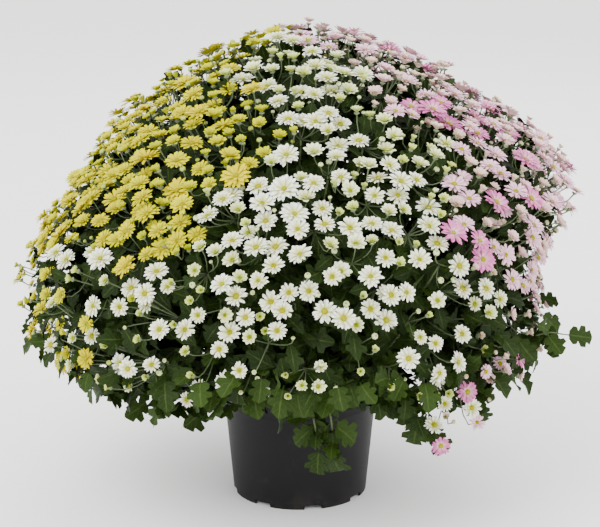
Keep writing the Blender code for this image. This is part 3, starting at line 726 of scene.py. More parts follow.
class Growth:
    """Where every flower, bud and leafy stem of the three plants grows."""

    def __init__(self, settings):
        self.settings = settings
        self.random = np.random.default_rng(SEED + 1)
        self._find_solid_blooms()
        for kind, wanted in ((OPEN, settings.more_blooms), (HALF, settings.half_open), (BUD, settings.buds)):
            self._fill(wanted, kind)
        self._hang()
        self._share_out()
        self._turn()
        self._grow_stems()

    def _find_solid_blooms(self):
        """The solid model's blooms, from the same spiral and draws. Some of the low ones are yet to open."""
        random = np.random.default_rng(SEED)
        self.fork_tops = place(spiral(SPRAYS, FORK_LAST_POLAR), 0.0)
        self.fork_plant = plant_of(self.fork_tops)
        self.ways = spiral(BLOOMS, BLOOM_LAST_POLAR)
        # The solid model draws each bloom's radius first. The numbers are passed over to keep its order.
        random.uniform(-1, 1, BLOOMS)
        sunk = BLOOM_SINK * random.uniform(0, 1, BLOOMS)
        spread = random.uniform(-1, 1, (BLOOMS, 3)) * BLOOM_JITTER
        least = 2 * (SOLID_BLOOM_RADIUS + BLOOM_SPREAD) + BLOOM_GAP
        self.centres = pushed_apart(place(self.ways, sunk) + spread, least)
        self.kinds = np.full(BLOOMS, OPEN)
        low = ramp(self.centres[:, 2], LOW_HEIGHT, -LOW_BAND)
        self.kinds[self.random.uniform(0, 1, BLOOMS) < LOW_HALF_OPEN * low] = HALF
        self.kinds[self.random.uniform(0, 1, BLOOMS) < LOW_BUDS * low] = BUD

    def _fill(self, wanted, kind):
        """Finds places for more flowers in the gaps: a finer spiral's points, kept where there is room."""
        needed = self.settings.bloom_radius * ROOM_NEEDED[kind]
        tries = wanted * TRIES_A_FLOWER + TRIES_MORE
        way = spiral(tries, FILL_LAST_POLAR)
        way = unit(way + self.random.normal(0, FILL_TURN, way.shape))
        points = place(way, self.random.uniform(*DEPTHS[kind], tries))
        points += self.random.uniform(-1, 1, points.shape) * FILL_JITTER
        taken, rooms = self.centres, self.settings.bloom_radius * np.choose(self.kinds, ROOM_TAKEN)
        likely = FILL_LEAST + (1 - FILL_LEAST) * ramp(points[:, 2], FILL_HEIGHT, FILL_BAND) ** FILL_POWER
        likely = self.random.uniform(0, 1, tries) < likely
        chosen = []
        for k in self.random.permutation(np.flatnonzero(likely)):
            if len(chosen) == wanted:
                break
            if (np.linalg.norm(taken - points[k], axis=1) > rooms + needed).all():
                chosen.append(k)
                taken = np.vstack([taken, points[k]])
                rooms = np.append(rooms, needed)
        self.centres = taken
        self.ways = np.vstack([self.ways, way[chosen]])
        self.kinds = np.append(self.kinds, np.full(len(chosen), kind))

    def _hang(self):
        """Adds the flowers that hang low on the right."""
        places = np.array([spot for _, _, spot in HANGING])
        self.centres = np.vstack([self.centres, places])
        self.ways = np.vstack([self.ways, unit(places - HANGING_FROM)])
        self.kinds = np.append(self.kinds, [kind for _, kind, _ in HANGING])

    def _nearest_fork(self, points):
        """The plant of the fork that is nearest to each point."""
        gap = np.linalg.norm(points[:, None] - self.fork_tops[None], axis=-1)
        return self.fork_plant[gap.argmin(axis=1)]

    def _share_out(self):
        """Gives each flower its plant: its fork's, or the white one where that leans over the yellow one."""
        self.plants = self._nearest_fork(self.centres)
        self.plants[-len(HANGING):] = [plant for plant, _, _ in HANGING]
        flat = self.centres[:, :2] - PLANTS_MEET
        turned = np.arctan2(flat[:, 1], flat[:, 0]) % (2 * math.pi) > CROSSING_ANGLE
        crossing = (self.plants == YELLOW) & turned & (self.centres[:, 2] < CROSSING_HEIGHT)
        self.plants[crossing & (self.random.uniform(0, 1, len(self.centres)) < CROSSING_SHARE)] = WHITE

    def _turn(self):
        """Each flower's way of facing, its turn about that, and its age from 0 to 1."""
        count = len(self.centres)
        scatter = self.random.normal(0, FACE_SCATTER, (count, 3))
        self.faces = unit(dome_normal(self.ways) + self.settings.bloom_lift * UP + scatter)
        self.turns = self.random.uniform(0, 2 * math.pi, count)
        crown = ramp(self.centres[:, 2], CROWN_HEIGHT, CROWN_BAND)
        self.age = self.random.uniform(YOUNGEST, 1.0, count) ** (AGE_POWER + CROWN_YOUTH * crown)

    def _grow_stems(self):
        """Stems: each arches from its plant's trunk to its own top, and flowers take the nearest top."""
        count = self.settings.stems
        way = spiral(count, STEM_LAST_POLAR)
        self.stem_plant = self._nearest_fork(place(way, 0.0))
        depth = self.random.uniform(*STEM_DEPTHS, count)
        self.stem_tops = inside_sector(place(way, depth), self.stem_plant, STEM_MARGIN)
        self.stem_out = dome_normal(way)
        reached = self.stem_tops + STEM_REACH * self.stem_out
        gap = np.linalg.norm(self.centres[:, None] - reached[None], axis=-1)
        gap[self.plants[:, None] != self.stem_plant[None]] = np.inf
        self.stem_of = gap.argmin(axis=1)
        angle = np.array([sum(sector(plant, BORDER_HEIGHTS[1])) / 2 for plant in PLANTS])
        self.feet = PLANTS_MEET + TRUNK_RING * np.column_stack([np.cos(angle), np.sin(angle)])
        root = np.column_stack([self.feet[self.stem_plant], self.random.uniform(*STEM_ROOTS, count)])
        root[:, :2] += self.random.normal(0, STEM_ROOT_SCATTER, (count, 2))
        middle = root + (self.stem_tops - root) * np.array(STEM_ARCH)
        middle = middle + self.random.normal(0, STEM_ARCH_SCATTER, (count, 3))
        self.stem_paths = bend(root, middle, self.stem_tops, STEM_STEPS)


def petal_grids(centres, faces, turns, openness, length, core, rows, random):
    """Ray petals, copies x 4 rows x 3 columns, with each one's bloom and its number in its row.

    A petal starts on the disc's edge, core out from the centre, at azimuth theta. Its slope from the bloom's
    plane changes evenly from steep to slack along it, so a point at t is core + length * the integral of
    (cos slope, sin slope). Across it the width is a blunt spoon, the edges rise by a share of the width, and
    the tip's corners are set back.
    """
    t, s = PETAL_ALONG, PETAL_COLUMNS
    first, second = frames(faces, PETAL_START)
    axis = faces[:, None, None]
    shut = 1 - openness[:, None]
    grids, owners, parts = [], [], []
    for row, (count, share, base, tip, width, height) in enumerate(rows):
        number = np.arange(count)
        theta = turns[:, None] + 2 * math.pi * (number + 0.5 * (row % 2)) / count
        theta = theta + random.normal(0, TURN_SCATTER, theta.shape)
        steep = base + (SHUT_BASE - base) * shut + random.normal(0, BASE_SCATTER, theta.shape)
        slack = tip + (SHUT_TIP - tip) * shut + random.normal(0, TIP_SCATTER, theta.shape)
        reach = length[:, None] * share * (1 + random.normal(0, LENGTH_SCATTER, theta.shape))
        reach, theta = reach[..., None], theta[..., None]
        slope = steep[..., None] + (slack - steep)[..., None] * t
        middle_slope = (slope[..., 1:] + slope[..., :-1]) / 2
        out, rise = (
            np.concatenate([0 * slope[..., :1], np.cumsum(part * np.diff(t), -1)], -1)
            for part in (np.cos(middle_slope), np.sin(middle_slope))
        )
        radial = (np.cos(theta) * first[:, None] + np.sin(theta) * second[:, None])[:, :, None]
        side = np.cross(np.broadcast_to(axis, radial.shape), radial)
        line = (core[:, None, None] + reach * out)[..., None] * radial
        line = line + (height + reach * rise)[..., None] * axis
        normal = np.cos(slope)[..., None] * axis - np.sin(slope)[..., None] * radial
        along = np.sin(slope)[..., None] * axis + np.cos(slope)[..., None] * radial
        half = (width * reach * PETAL_WIDTH)[..., None]
        cup = PETAL_CUP * s**2 * half
        back = -PETAL_NOTCH * reach[..., None] * (t == 1.0)[:, None] * s**2
        grid = line[..., None, :] + (s * half)[..., None] * side[..., None, :]
        grid = grid + cup[..., None] * normal[..., None, :] + back[..., None] * along[..., None, :]
        grid = grid + centres[:, None, None, None]
        # Columns run the other way so that the upper side faces out
        grids.append(grid[:, :, :, ::-1].reshape(-1, len(t), len(s), 3))
        owners.append(np.repeat(np.arange(len(centres)), count))
        parts.append(np.tile(number, len(centres)))
    return np.concatenate(grids), np.concatenate(owners), np.concatenate(parts)


def leaf_grids(bases, ways, faces, sizes, random):
    """Lobed leaves, copies x 11 rows x 5 columns.

    A point at t along and s across is base + size * (t * way + s * width(t) * side), with the edge of each
    lobe set forward by fore(t) * s^2. The blade folds up along its midrib by |s| * width, arches down by
    t^2, leans sideways by t^2, and waves by a sine of t across s.
    """
    side = unit(np.cross(faces, ways))
    normal = np.cross(ways, side)
    shape = (len(bases), 1, 1)
    arch = random.uniform(*LEAF_ARCH, shape)
    fold = random.uniform(*LEAF_FOLD, shape)
    wave = random.normal(0, LEAF_WAVE, shape)
    lean = random.normal(0, LEAF_LEAN, shape)
    phase = random.uniform(0, 2 * math.pi, shape)
    t, width, fore, s = LEAF_ALONG[:, None], LEAF_WIDTH[:, None], LEAF_FORE[:, None], LEAF_ACROSS
    along = t + fore * s**2
    across = s * width + lean * t**2
    waving = wave * ramp(t, BLADE_START, BLADE_RISE) * np.sin(LEAF_RIPPLES * t + phase) * s
    rise = fold * np.abs(s) * width - arch * t**2 + waving
    grid = bases[:, None, None]
    for amount, vectors in ((along, ways), (across, side), (rise, normal)):
        grid = grid + (sizes[:, None, None] * amount)[..., None] * vectors[:, None, None]
    return grid


class Shade:
    """A shader socket whose arithmetic adds Math nodes: a + b, 1 - a, a * b and so on."""

    def __init__(self, finish, socket):
        self.finish, self.socket = finish, socket

    def _math(self, operation, *values, clamp=False):
        settings = {"operation": operation, "use_clamp": clamp}
        return self.finish.node("ShaderNodeMath", settings, dict(enumerate(values)))

    def __add__(self, other):
        return self._math("ADD", self, other)

    __radd__ = __add__

    def __sub__(self, other):
        return self._math("SUBTRACT", self, other)

    def __rsub__(self, other):
        return self._math("SUBTRACT", other, self)

    def __mul__(self, other):
        return self._math("MULTIPLY", self, other)

    __rmul__ = __mul__

    def __truediv__(self, other):
        return self._math("DIVIDE", self, other)

    def __rtruediv__(self, other):
        return self._math("DIVIDE", other, self)

    def abs(self):
        return self._math("ABSOLUTE", self)

    def floor(self):
        return self._math("FLOOR", self)

    def fract(self):
        return self._math("FRACT", self)

    def waves(self, turn):
        """A wave from 0 to 1, whose angle in radians is the value times turn."""
        return self._math("SINE", self * turn) * 0.5 + 0.5

    def clamped(self):
        return self._math("ADD", self, 0.0, clamp=True)

    def step(self, low, high):
        """0 below low, 1 above high, and a smooth rise between them."""
        sockets = {"Value": self, "From Min": low, "From Max": high}
        return self.finish.node("ShaderNodeMapRange", {"interpolation_type": "SMOOTHSTEP"}, sockets)


class Finish:
    """A new Principled material and the few ways that its nodes are made."""

    def __init__(self, name, **fixed):
        old = bpy.data.materials.get(name)
        if old:
            bpy.data.materials.remove(old)
        self.material = bpy.data.materials.new(name)
        self.material.use_nodes = True
        self.tree = self.material.node_tree
        self.shader = self.tree.nodes["Principled BSDF"]
        for socket, value in fixed.items():
            self.shader.inputs[socket.replace("_", " ")].default_value = value

    def node(self, kind, settings=None, sockets=None, output=0):
        """A node of a kind: its settings are set first, then the values or links of its sockets."""
        node = self.tree.nodes.new(kind)
        for key, value in (settings or {}).items():
            setattr(node, key, value)
        for key, value in (sockets or {}).items():
            self.feed(node.inputs[key], value)
        return Shade(self, node.outputs[output])

    def feed(self, slot, value):
        """Links a shade to a socket, or else sets the socket's own value, a colour's with full alpha."""
        if isinstance(value, Shade):
            self.tree.links.new(value.socket, slot)
        elif slot.type == "RGBA":
            slot.default_value = (*value, 1.0)
        else:
            slot.default_value = value

    def split(self, vector):
        """A vector's three values."""
        first = self.node("ShaderNodeSeparateXYZ", sockets={0: vector})
        return [Shade(self, output) for output in first.socket.node.outputs]

    def own_map(self, tiles):
        """The tile's number, how far across it from 0 to 1 and how far along, from the piece's own map."""
        across, along, _ = self.split(self.node("ShaderNodeUVMap", {"uv_map": MAP_NAME}))
        across = across * tiles
        return across.floor(), across.fract(), along

    def object_place(self):
        """Object coordinates, which are the model's own."""
        return self.node("ShaderNodeTexCoord", output="Object")

    def chance(self, value):
        """A random value from 0 to 1 for each value."""
        return self.node("ShaderNodeTexWhiteNoise", {"noise_dimensions": "1D"}, {"W": value})

    def noise(self, vector, scale, detail):
        """Noise at a scale on a vector."""
        return self.node("ShaderNodeTexNoise", sockets={"Vector": vector, "Scale": scale, "Detail": detail})

    def cells(self, vector, scale):
        """The distance to the nearest of many scattered points, at a scale on a vector."""
        return self.node("ShaderNodeTexVoronoi", sockets={"Vector": vector, "Scale": scale})

    def vector(self, x, y):
        """Two values as one vector."""
        return self.node("ShaderNodeCombineXYZ", sockets={"X": x, "Y": y})

    def mix(self, factor, first, second):
        """The first colour where factor is 0 and the second where it is 1."""
        sockets = {0: factor, 6: first, 7: second}
        return self.node("ShaderNodeMix", {"data_type": "RGBA"}, sockets, output=2)

    def scaled(self, colour, amount):
        """A colour times a value, by Vector Math."""
        return self.node("ShaderNodeVectorMath", {"operation": "SCALE"}, {0: colour, "Scale": amount})

    def colour(self, value):
        self.feed(self.shader.inputs["Base Color"], value)

    def roughness(self, value):
        self.feed(self.shader.inputs["Roughness"], value)

    def relief(self, height, distance, strength=0.6):
        """A bump of a height from 0 to 1 over a distance in metres."""
        sockets = {"Height": height, "Distance": distance, "Strength": strength}
        self.feed(self.shader.inputs["Normal"], self.node("ShaderNodeBump", sockets=sockets))


def bloom_age(tile):
    """A bloom's age from 0 to 1, from its tile: each age has two."""
    return ((tile * 0.5).floor() + 0.5) / (PETAL_TILES / 2)


def petal_finish(name, young, ripe, old, base, reach):
    """Petals: young, ripe or old by the bloom's age, grooved, and tinted by base as far along as reach."""
    finish = Finish(name, Roughness=0.66, Specular_IOR_Level=0.09)
    tile, side, along = finish.own_map(PETAL_TILES)
    age = bloom_age(tile)
    colour = finish.mix(age.step(0.12, 0.62), young, ripe)
    colour = finish.mix(age.step(0.78, 0.97), colour, old)
    near_disc = (1 - along.step(0.05, reach)) * (1 - 0.15 * age.step(0.3, 0.9))
    colour = finish.mix(near_disc * 0.9, colour, base)
    grooves = side.waves(25.0) * along.step(0.05, 0.3)
    tint = 0.93 + 0.07 * finish.chance(tile + 3.1) - 0.025 * grooves
    edge = 1 - 0.05 * along.step(0.86, 1.0)
    finish.colour(finish.scaled(colour, tint * edge))
    finish.relief(grooves, distance=0.0003)
    return finish.material


def disc_finish(name, young, ripe):
    """The disc of florets: green when young and gold when ripe, darker in its middle, with a grain of florets
    whose gaps are darkened as painted shade.
    """
    finish = Finish(name, Roughness=0.8, Specular_IOR_Level=0.06)
    tile, side, along = finish.own_map(PETAL_TILES)
    age = bloom_age(tile)
    colour = finish.mix(age.step(0.25, 0.6), young, ripe)
    grain = finish.cells(finish.vector(side * 5.0 + tile * 7.0, along * 4.0), scale=1.6)
    middle = along.step(0.55, 0.95) * (1 - age.step(0.5, 0.9)) * 0.45
    # Each floret's cell darkens towards its edge, where the bump sinks: painted shade in the gaps between
    # florets
    finish.colour(finish.scaled(colour, (1.12 - 0.45 * grain) * (1 - middle)))
    finish.relief(1 - grain, distance=0.0006)
    return finish.material


def leaf_finish(name, dark, light):
    """A leaf blade: a pale midrib and side veins that run forward to the lobes, the higher tiles lighter and
    the lowest painted shade.
    """
    finish = Finish(name, Specular_IOR_Level=0.10)
    tile, across, along = finish.own_map(LEAF_TILES)
    side = (across - 0.5).abs() * 2.0
    mottle = finish.noise(finish.vector((tile + across) * 7.5, along * 9.0), scale=1.0, detail=3.0)
    tint = (tile + 0.5) / LEAF_TILES
    colour = finish.mix((tint * 0.9 + mottle * 0.4 - 0.12).clamped(), dark, light)
    midrib = 1 - side.step(0.03, 0.11)
    slant = ((along * 6.5 - side * 1.7).fract() - 0.5).abs() * 2.0
    veins = (1 - slant.step(0.06, 0.20)) * side.step(0.05, 0.15) * (1 - side.step(0.8, 1.0))
    vein = (midrib + 0.55 * veins).clamped()
    finish.colour(finish.mix(vein * 0.17, colour, LEAF_VEIN))
    finish.roughness(0.50 + 0.16 * mottle)
    finish.relief(mottle * 0.5 + (1 - vein) * 0.5, distance=0.0008, strength=0.8)
    return finish.material


def stalk_finish(name, foot, top):
    """A green stalk that pales from its foot to its top, finely ribbed."""
    finish = Finish(name, Roughness=0.6, Specular_IOR_Level=0.3)
    tile, side, along = finish.own_map(STALK_TILES)
    ribs = side.waves(31.4)
    colour = finish.mix(along.step(0.0, 0.9), foot, top)
    finish.colour(finish.scaled(colour, 0.80 + 0.30 * finish.chance(tile + 5.3) + 0.08 * ribs))
    finish.relief(ribs, distance=0.0003)
    return finish.material


def bud_finish(name, petal, sepal):
    """A bud: green sepals below, petals above, parted by ragged tips, and a dark eye at the very top."""
    finish = Finish(name, Roughness=0.6, Specular_IOR_Level=0.3)
    tile, side, along = finish.own_map(STALK_TILES)
    ragged = (side.waves(37.7) - 0.5) * 0.14
    colour = finish.mix((along + ragged).step(0.40, 0.52), sepal, petal)
    colour = finish.mix(along.step(0.90, 0.985) * 0.75, colour, BUD_EYE)
    folds = side.waves(50.3)
    finish.colour(finish.scaled(colour, 0.86 + 0.16 * finish.chance(tile + 2.2) - 0.10 * folds))
    finish.relief(folds, distance=0.0004)
    return finish.material


def pot_finish(name, colour):
    """Moulded matte plastic: a fine grain, faint flow bands, scuffs that pale it, and dust near the foot."""
    finish = Finish(name, Specular_IOR_Level=0.14)
    place_on = finish.object_place()
    height = finish.split(place_on)[2]
    grain = finish.noise(place_on, scale=900.0, detail=2.0)
    bands = finish.noise(place_on, scale=14.0, detail=3.0)
    scuffs = finish.noise(place_on, scale=60.0, detail=5.0).step(0.60, 0.78)
    dust = (1 - height.step(0.0, 0.045)) * finish.noise(place_on, scale=35.0, detail=4.0).step(0.42, 0.70)
    base = finish.mix((bands * 0.6).clamped(), colour, [1.35 * part for part in colour])
    base = finish.mix((scuffs * 0.05).clamped(), base, POT_SCUFF)
    finish.colour(finish.mix(dust * 0.14, base, POT_DUST))
    finish.roughness(0.46 + 0.12 * grain + 0.12 * dust)
    finish.relief(grain * 0.7 + bands * 0.3, distance=0.0004, strength=0.5)
    return finish.material


def soil_finish(name):
    """Moist potting mix: dark crumbs with paler fibres."""
    finish = Finish(name, Specular_IOR_Level=0.2)
    place_on = finish.object_place()
    crumbs = finish.cells(place_on, scale=260.0)
    fine = finish.noise(place_on, scale=700.0, detail=4.0)
    fibre = finish.noise(place_on, scale=120.0, detail=3.0).step(0.60, 0.72)
    finish.colour(finish.mix(fibre * 0.5, finish.mix(fine, SOIL_DARK, SOIL_LIGHT), SOIL_FIBRE))
    finish.roughness(0.85 + 0.1 * fine)
    finish.relief((1 - crumbs) * 0.7 + fine * 0.3, distance=0.003, strength=0.9)
    return finish.material


def floor_finish(name, colour):
    """The plain pale floor."""
    finish = Finish(name, Roughness=0.9)
    finish.colour(colour)
    return finish.material


class PlantSettings(bpy.types.PropertyGroup):
    """How much grows, and its sizes."""

    more_blooms: bpy.props.IntProperty(
        name="More blooms", description="Open blooms beside those of the solid model", default=760, min=0
    )
    half_open: bpy.props.IntProperty(
        name="Half open", description="Blooms that are only half open", default=270, min=0
    )
    buds: bpy.props.IntProperty(name="Buds", description="Closed buds", default=290, min=0)
    stems: bpy.props.IntProperty(name="Stems", description="Leafy stems in all", default=205, min=1)
    leaves_a_stem: bpy.props.IntProperty(
        name="Leaves a stem", description="Leaves along the outer part of each stem", default=11, min=1
    )
    inner_leaves: bpy.props.IntProperty(
        name="Inner leaves", description="Plainer leaves of the ball's dense inside", default=2600, min=1
    )
    bloom_radius: bpy.props.FloatProperty(
        name="Bloom radius", description="Radius of a full bloom", default=0.0142, unit="LENGTH"
    )
    bloom_lift: bpy.props.FloatProperty(
        name="Bloom lift", description="How far the blooms turn up from the dome's own slope", default=0.62
    )
    leaf_length: bpy.props.FloatProperty(
        name="Leaf length", description="Length of a full leaf with its stalk", default=0.046, unit="LENGTH"
    )
    stalk_radius: bpy.props.FloatProperty(
        name="Stalk radius", description="Radius of a bloom's stalk", default=0.0008, unit="LENGTH"
    )


def colour_setting(name, description, default):
    """A colour that a user may change."""
    return bpy.props.FloatVectorProperty(
        name=name, description=description, default=default, subtype="COLOR", size=3, min=0.0, max=1.0
    )


class ColourSettings(bpy.types.PropertyGroup):
    """The plants' colours and the pot's."""

    yellow: colour_setting("Yellow petals", "Ripe petals of the yellow plant", (0.57, 0.53, 0.0))
    white: colour_setting("White petals", "Ripe petals of the white plant", (0.93, 0.93, 0.86))
    pink: colour_setting("Pink petals", "Ripe petals of the pink plant", (0.80, 0.50, 0.62))
    gold: colour_setting("Ripe disc", "Disc florets of an open bloom", (0.31, 0.29, 0.0))
    leaf_dark: colour_setting("Dark leaf", "The darkest leaves", (0.0052, 0.0120, 0.0013))
    leaf_light: colour_setting("Light leaf", "The lightest leaves", (0.0175, 0.038, 0.0028))
    stalk: colour_setting("Stalk", "Stalks under the blooms", (0.17, 0.215, 0.11))
    pot: colour_setting("Pot", "The pot's plastic", (0.0060, 0.0056, 0.0060))


class StageSettings(bpy.types.PropertyGroup):
    """The light and the floor."""

    sky: bpy.props.FloatProperty(name="Sky", description="Strength of the even light", default=2.30, min=0.0)
    key: bpy.props.FloatProperty(
        name="Key light", description="Power of the main light", default=150.0, min=0.0
    )
    fill: bpy.props.FloatProperty(
        name="Fill light", description="Power of each of the other lights", default=46.0, min=0.0
    )
    floor: colour_setting("Floor", "The floor's colour", (0.93, 0.93, 0.92))


def plant_nodes(plant, kind):
    """The solid model's nodes of one plant whose names hold a word."""
    return [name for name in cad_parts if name.startswith(plant) and kind in name]


class CHRYSANTHEMUM_OT_stage(bpy.types.Operator):
    """Makes the floor, the lights and the camera at the photograph's angle"""

    bl_idname = "chrysanthemum.stage"
    bl_label = "Stage"

    def execute(self, context):
        settings = context.scene.chrysanthemum_stage
        camera = bpy.data.cameras.new("camera")
        camera.sensor_width = SENSOR_WIDTH
        camera.lens = CAMERA_LENS
        viewer = bpy.data.objects.new("camera", camera)
        viewer.location = CAMERA_PLACE
        viewer.rotation_euler = (math.pi / 2 - CAMERA_PITCH, 0.0, 0.0)
        context.scene.collection.objects.link(viewer)
        context.scene.camera = viewer
        for name, at, size, power in LIGHTS:
            light = bpy.data.lights.new(name, "AREA")
            light.size = size
            light.energy = getattr(settings, power)
            lamp = bpy.data.objects.new(name, light)
            lamp.location = at
            lamp.rotation_euler = (Vector(LIGHTS_AIM) - Vector(at)).to_track_quat("-Z", "Y").to_euler()
            context.scene.collection.objects.link(lamp)
        world = bpy.data.worlds.new("studio")
        world.use_nodes = True
        sky = world.node_tree.nodes["Background"]
        sky.inputs["Color"].default_value = (1.0, 1.0, 1.0, 1.0)
        sky.inputs["Strength"].default_value = settings.sky
        context.scene.world = world
        side = np.array([-FLOOR_REACH, FLOOR_REACH])
        x, y = np.meshgrid(side, side)
        floor = Surface()
        floor.add(np.stack([x, y, 0 * x], axis=-1)[None], 0, 1)
        obj = bpy.data.objects.new("floor", floor.mesh("floor"))
        obj.data.materials.append(floor_finish("pale_floor", settings.floor))
        context.scene.collection.objects.link(obj)
        return {"FINISHED"}


class CHRYSANTHEMUM_OT_pot(bpy.types.Operator):
    """Makes the round nursery pot with its lip, its raised floor and its notched foot"""

    bl_idname = "chrysanthemum.pot"
    bl_label = "Pot"

    def execute(self, context):
        surface = Surface()
        surface.add(self._grid()[None], 0, 1, closed=True)
        material = pot_finish("moulded_plastic", context.scene.chrysanthemum_colours.pot)
        new_piece("nursery_pot", surface, material, ["pot"])
        return {"FINISHED"}

    @staticmethod
    def _profile():
        """Radius and height of each row, from the inner floor over the rim and down to the under side."""

        def wall(height):
            return POT_BASE_RADIUS + POT_WALL_SLOPE * height

        floor_top = POT_FLOOR_HEIGHT + POT_FLOOR_THICKNESS
        lip_bottom = POT_HEIGHT - POT_LIP_HEIGHT
        lip = wall(lip_bottom) + POT_LIP_WIDTH
        profile = [
            (POT_CAP_RADIUS, floor_top),
            (wall(floor_top) - POT_WALL - POT_FILLET, floor_top),
            (wall(floor_top + POT_FILLET) - POT_WALL, floor_top + POT_FILLET),
        ]
        corners = (
            (wall(POT_HEIGHT) - POT_WALL, POT_HEIGHT, RIM_ROUND),
            (lip, POT_HEIGHT, LIP_TOP_ROUND),
            (lip, lip_bottom, LIP_BOTTOM_ROUND),
            (wall(lip_bottom), lip_bottom, LIP_ROOT_ROUND),
        )
        for radius, height, steps in corners:
            profile += [(radius + out, height + up) for out, up in steps]
        for height in WALL_HEIGHTS:
            profile.append((wall(height) + (RIDGE if height == RIDGE_HEIGHT else 0.0), height))
        outer, inner = wall(0.0), wall(0.0) - POT_WALL
        round_in, round_up = FOOT_ROUND
        profile += [(wall(round_up), round_up), (outer - round_in, 0.0), (inner + round_in, 0.0)]
        profile += [(inner, round_up), (inner, NOTCH_TOP), (inner, POT_FLOOR_HEIGHT)]
        profile.append((POT_CAP_RADIUS, POT_FLOOR_HEIGHT))
        return np.array(profile).T

    def _grid(self):
        """The profile turned round Z: a row's points are its radius times a circle, at its height.

        The rows of the foot are raised to a notch's top wherever they are inside one. That falls off over a
        narrow angle at each side, so square-sided notches cut the foot ring.
        """
        radius, height = self._profile()[..., None]
        half = FOOT_NOTCH_WIDTH / 2 / POT_BASE_RADIUS
        spacing = 2 * math.pi / FOOT_NOTCHES
        middles = spacing * (np.arange(FOOT_NOTCHES)[:, None] + NOTCH_FIRST)
        edges = (middles + np.array([-half - NOTCH_SIDE, -half, half, half + NOTCH_SIDE])).ravel()
        angle = np.linspace(0, 2 * math.pi, POT_SIDES, endpoint=False)
        from_edge = np.abs((angle[:, None] - edges + math.pi) % (2 * math.pi) - math.pi).min(axis=1)
        angle = np.sort(np.concatenate([angle[from_edge > NOTCH_CLEARANCE], edges]))
        from_middle = np.abs((angle - NOTCH_FIRST * spacing + spacing / 2) % spacing - spacing / 2)
        inside = ramp(from_middle, half + NOTCH_SIDE, -NOTCH_SIDE)
        raised = height + np.where(height < NOTCH_TOP, FOOT_NOTCH_HEIGHT - height, 0.0) * inside
        return np.stack([radius * np.cos(angle), radius * np.sin(angle), raised], axis=-1)


class CHRYSANTHEMUM_OT_soil(bpy.types.Operator):
    """Gives the soil its finish and strews crumbs of bark and grit over it"""

    bl_idname = "chrysanthemum.soil"
    bl_label = "Soil"

    def execute(self, context):
        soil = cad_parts["soil"]
        soil.data.materials.clear()
        soil.data.materials.append(soil_finish("potting_mix"))
        surface = Surface()
        random = np.random.default_rng(SEED + 2)
        surface.add(self._crumbs(random), random.integers(0, CRUMB_TILES, CRUMBS), CRUMB_TILES, closed=True)
        new_piece("soil_crumbs", surface, soil_finish("soil_crumb"))
        return {"FINISHED"}

    @staticmethod
    def _crumbs(random):
        """Crumbs: a flattened unit ball's points, each pushed in or out at random, times the crumb's size."""
        radius = CRUMB_REACH * np.sqrt(random.uniform(0, 1, CRUMBS))
        azimuth = random.uniform(0, 2 * math.pi, CRUMBS)
        size = random.uniform(*CRUMB_SIZES, CRUMBS)
        height = SOIL_HEIGHT + CRUMB_SINK * size
        centre = np.stack([radius * np.cos(azimuth), radius * np.sin(azimuth), height], axis=-1)
        turn = np.linspace(0, 2 * math.pi, CRUMB_SIDES, endpoint=False)
        ball = direction(*np.meshgrid(CRUMB_RINGS, turn, indexing="ij"))
        stretch = random.uniform(*CRUMB_STRETCH, (CRUMBS, 1, 1, 3)) * CRUMB_FLAT
        rough = random.uniform(*CRUMB_ROUGH, (CRUMBS, *ball.shape[:2], 1))
        grids = centre[:, None, None] + size[:, None, None, None] * stretch * rough * ball
        return grids[:, ::-1]


class CHRYSANTHEMUM_OT_stems(bpy.types.Operator):
    """Grows each plant's trunk, stems and leafy shoots"""

    bl_idname = "chrysanthemum.stems"
    bl_label = "Stems"

    def execute(self, context):
        growth = Growth(context.scene.chrysanthemum_plant)
        random = np.random.default_rng(SEED + 3)
        bark = stalk_finish("stem_bark", BARK_FOOT, BARK_TOP)
        for number, plant in enumerate(PLANTS):
            surface = Surface()
            surface.add(self._trunk(*growth.feet[number]), 0, STALK_TILES, closed=True)
            paths = growth.stem_paths[growth.stem_plant == number]
            radii = np.linspace(*STEM_RADII, STEM_STEPS) * random.uniform(*SIZE_VARIES, (len(paths), 1))
            tile = random.integers(0, STALK_TILES, len(paths))
            surface.add(tubes(paths, radii, STEM_SIDES), tile, STALK_TILES, closed=True)
            for owner, route, _ in SHOOTS:
                if owner == plant:
                    path = polyline(route, SHOOT_STEPS)[None]
                    shoot = tubes(path, np.linspace(*SHOOT_RADII, SHOOT_STEPS)[None], STEM_SIDES)
                    surface.add(shoot, 1, STALK_TILES, closed=True)
            new_piece(f"{plant}_stems", surface, bark)
        return {"FINISHED"}

    @staticmethod
    def _trunk(x, y):
        """A tube whose path sways by a sine of the height, and which tapers and flares out at the soil."""
        height = np.linspace(SOIL_HEIGHT - TRUNK_SUNK, TRUNK_TOP - TRUNK_SUNK, TRUNK_STEPS)
        turns_x, turns_y = TRUNK_SWAY_TURNS
        x = x + TRUNK_SWAY * np.sin(turns_x * height)
        y = y + TRUNK_SWAY * np.cos(turns_y * height)
        plain, flare = TRUNK_FLARE
        radii = TRUNK_RADIUS * (plain + flare * np.exp(-((height - SOIL_HEIGHT) / TRUNK_FLARE_BAND) ** 2))
        radii = radii * np.linspace(1, TRUNK_TAPER, TRUNK_STEPS)
        return tubes(np.stack([x, y, height], axis=-1)[None], radii[None], TRUNK_SIDES)


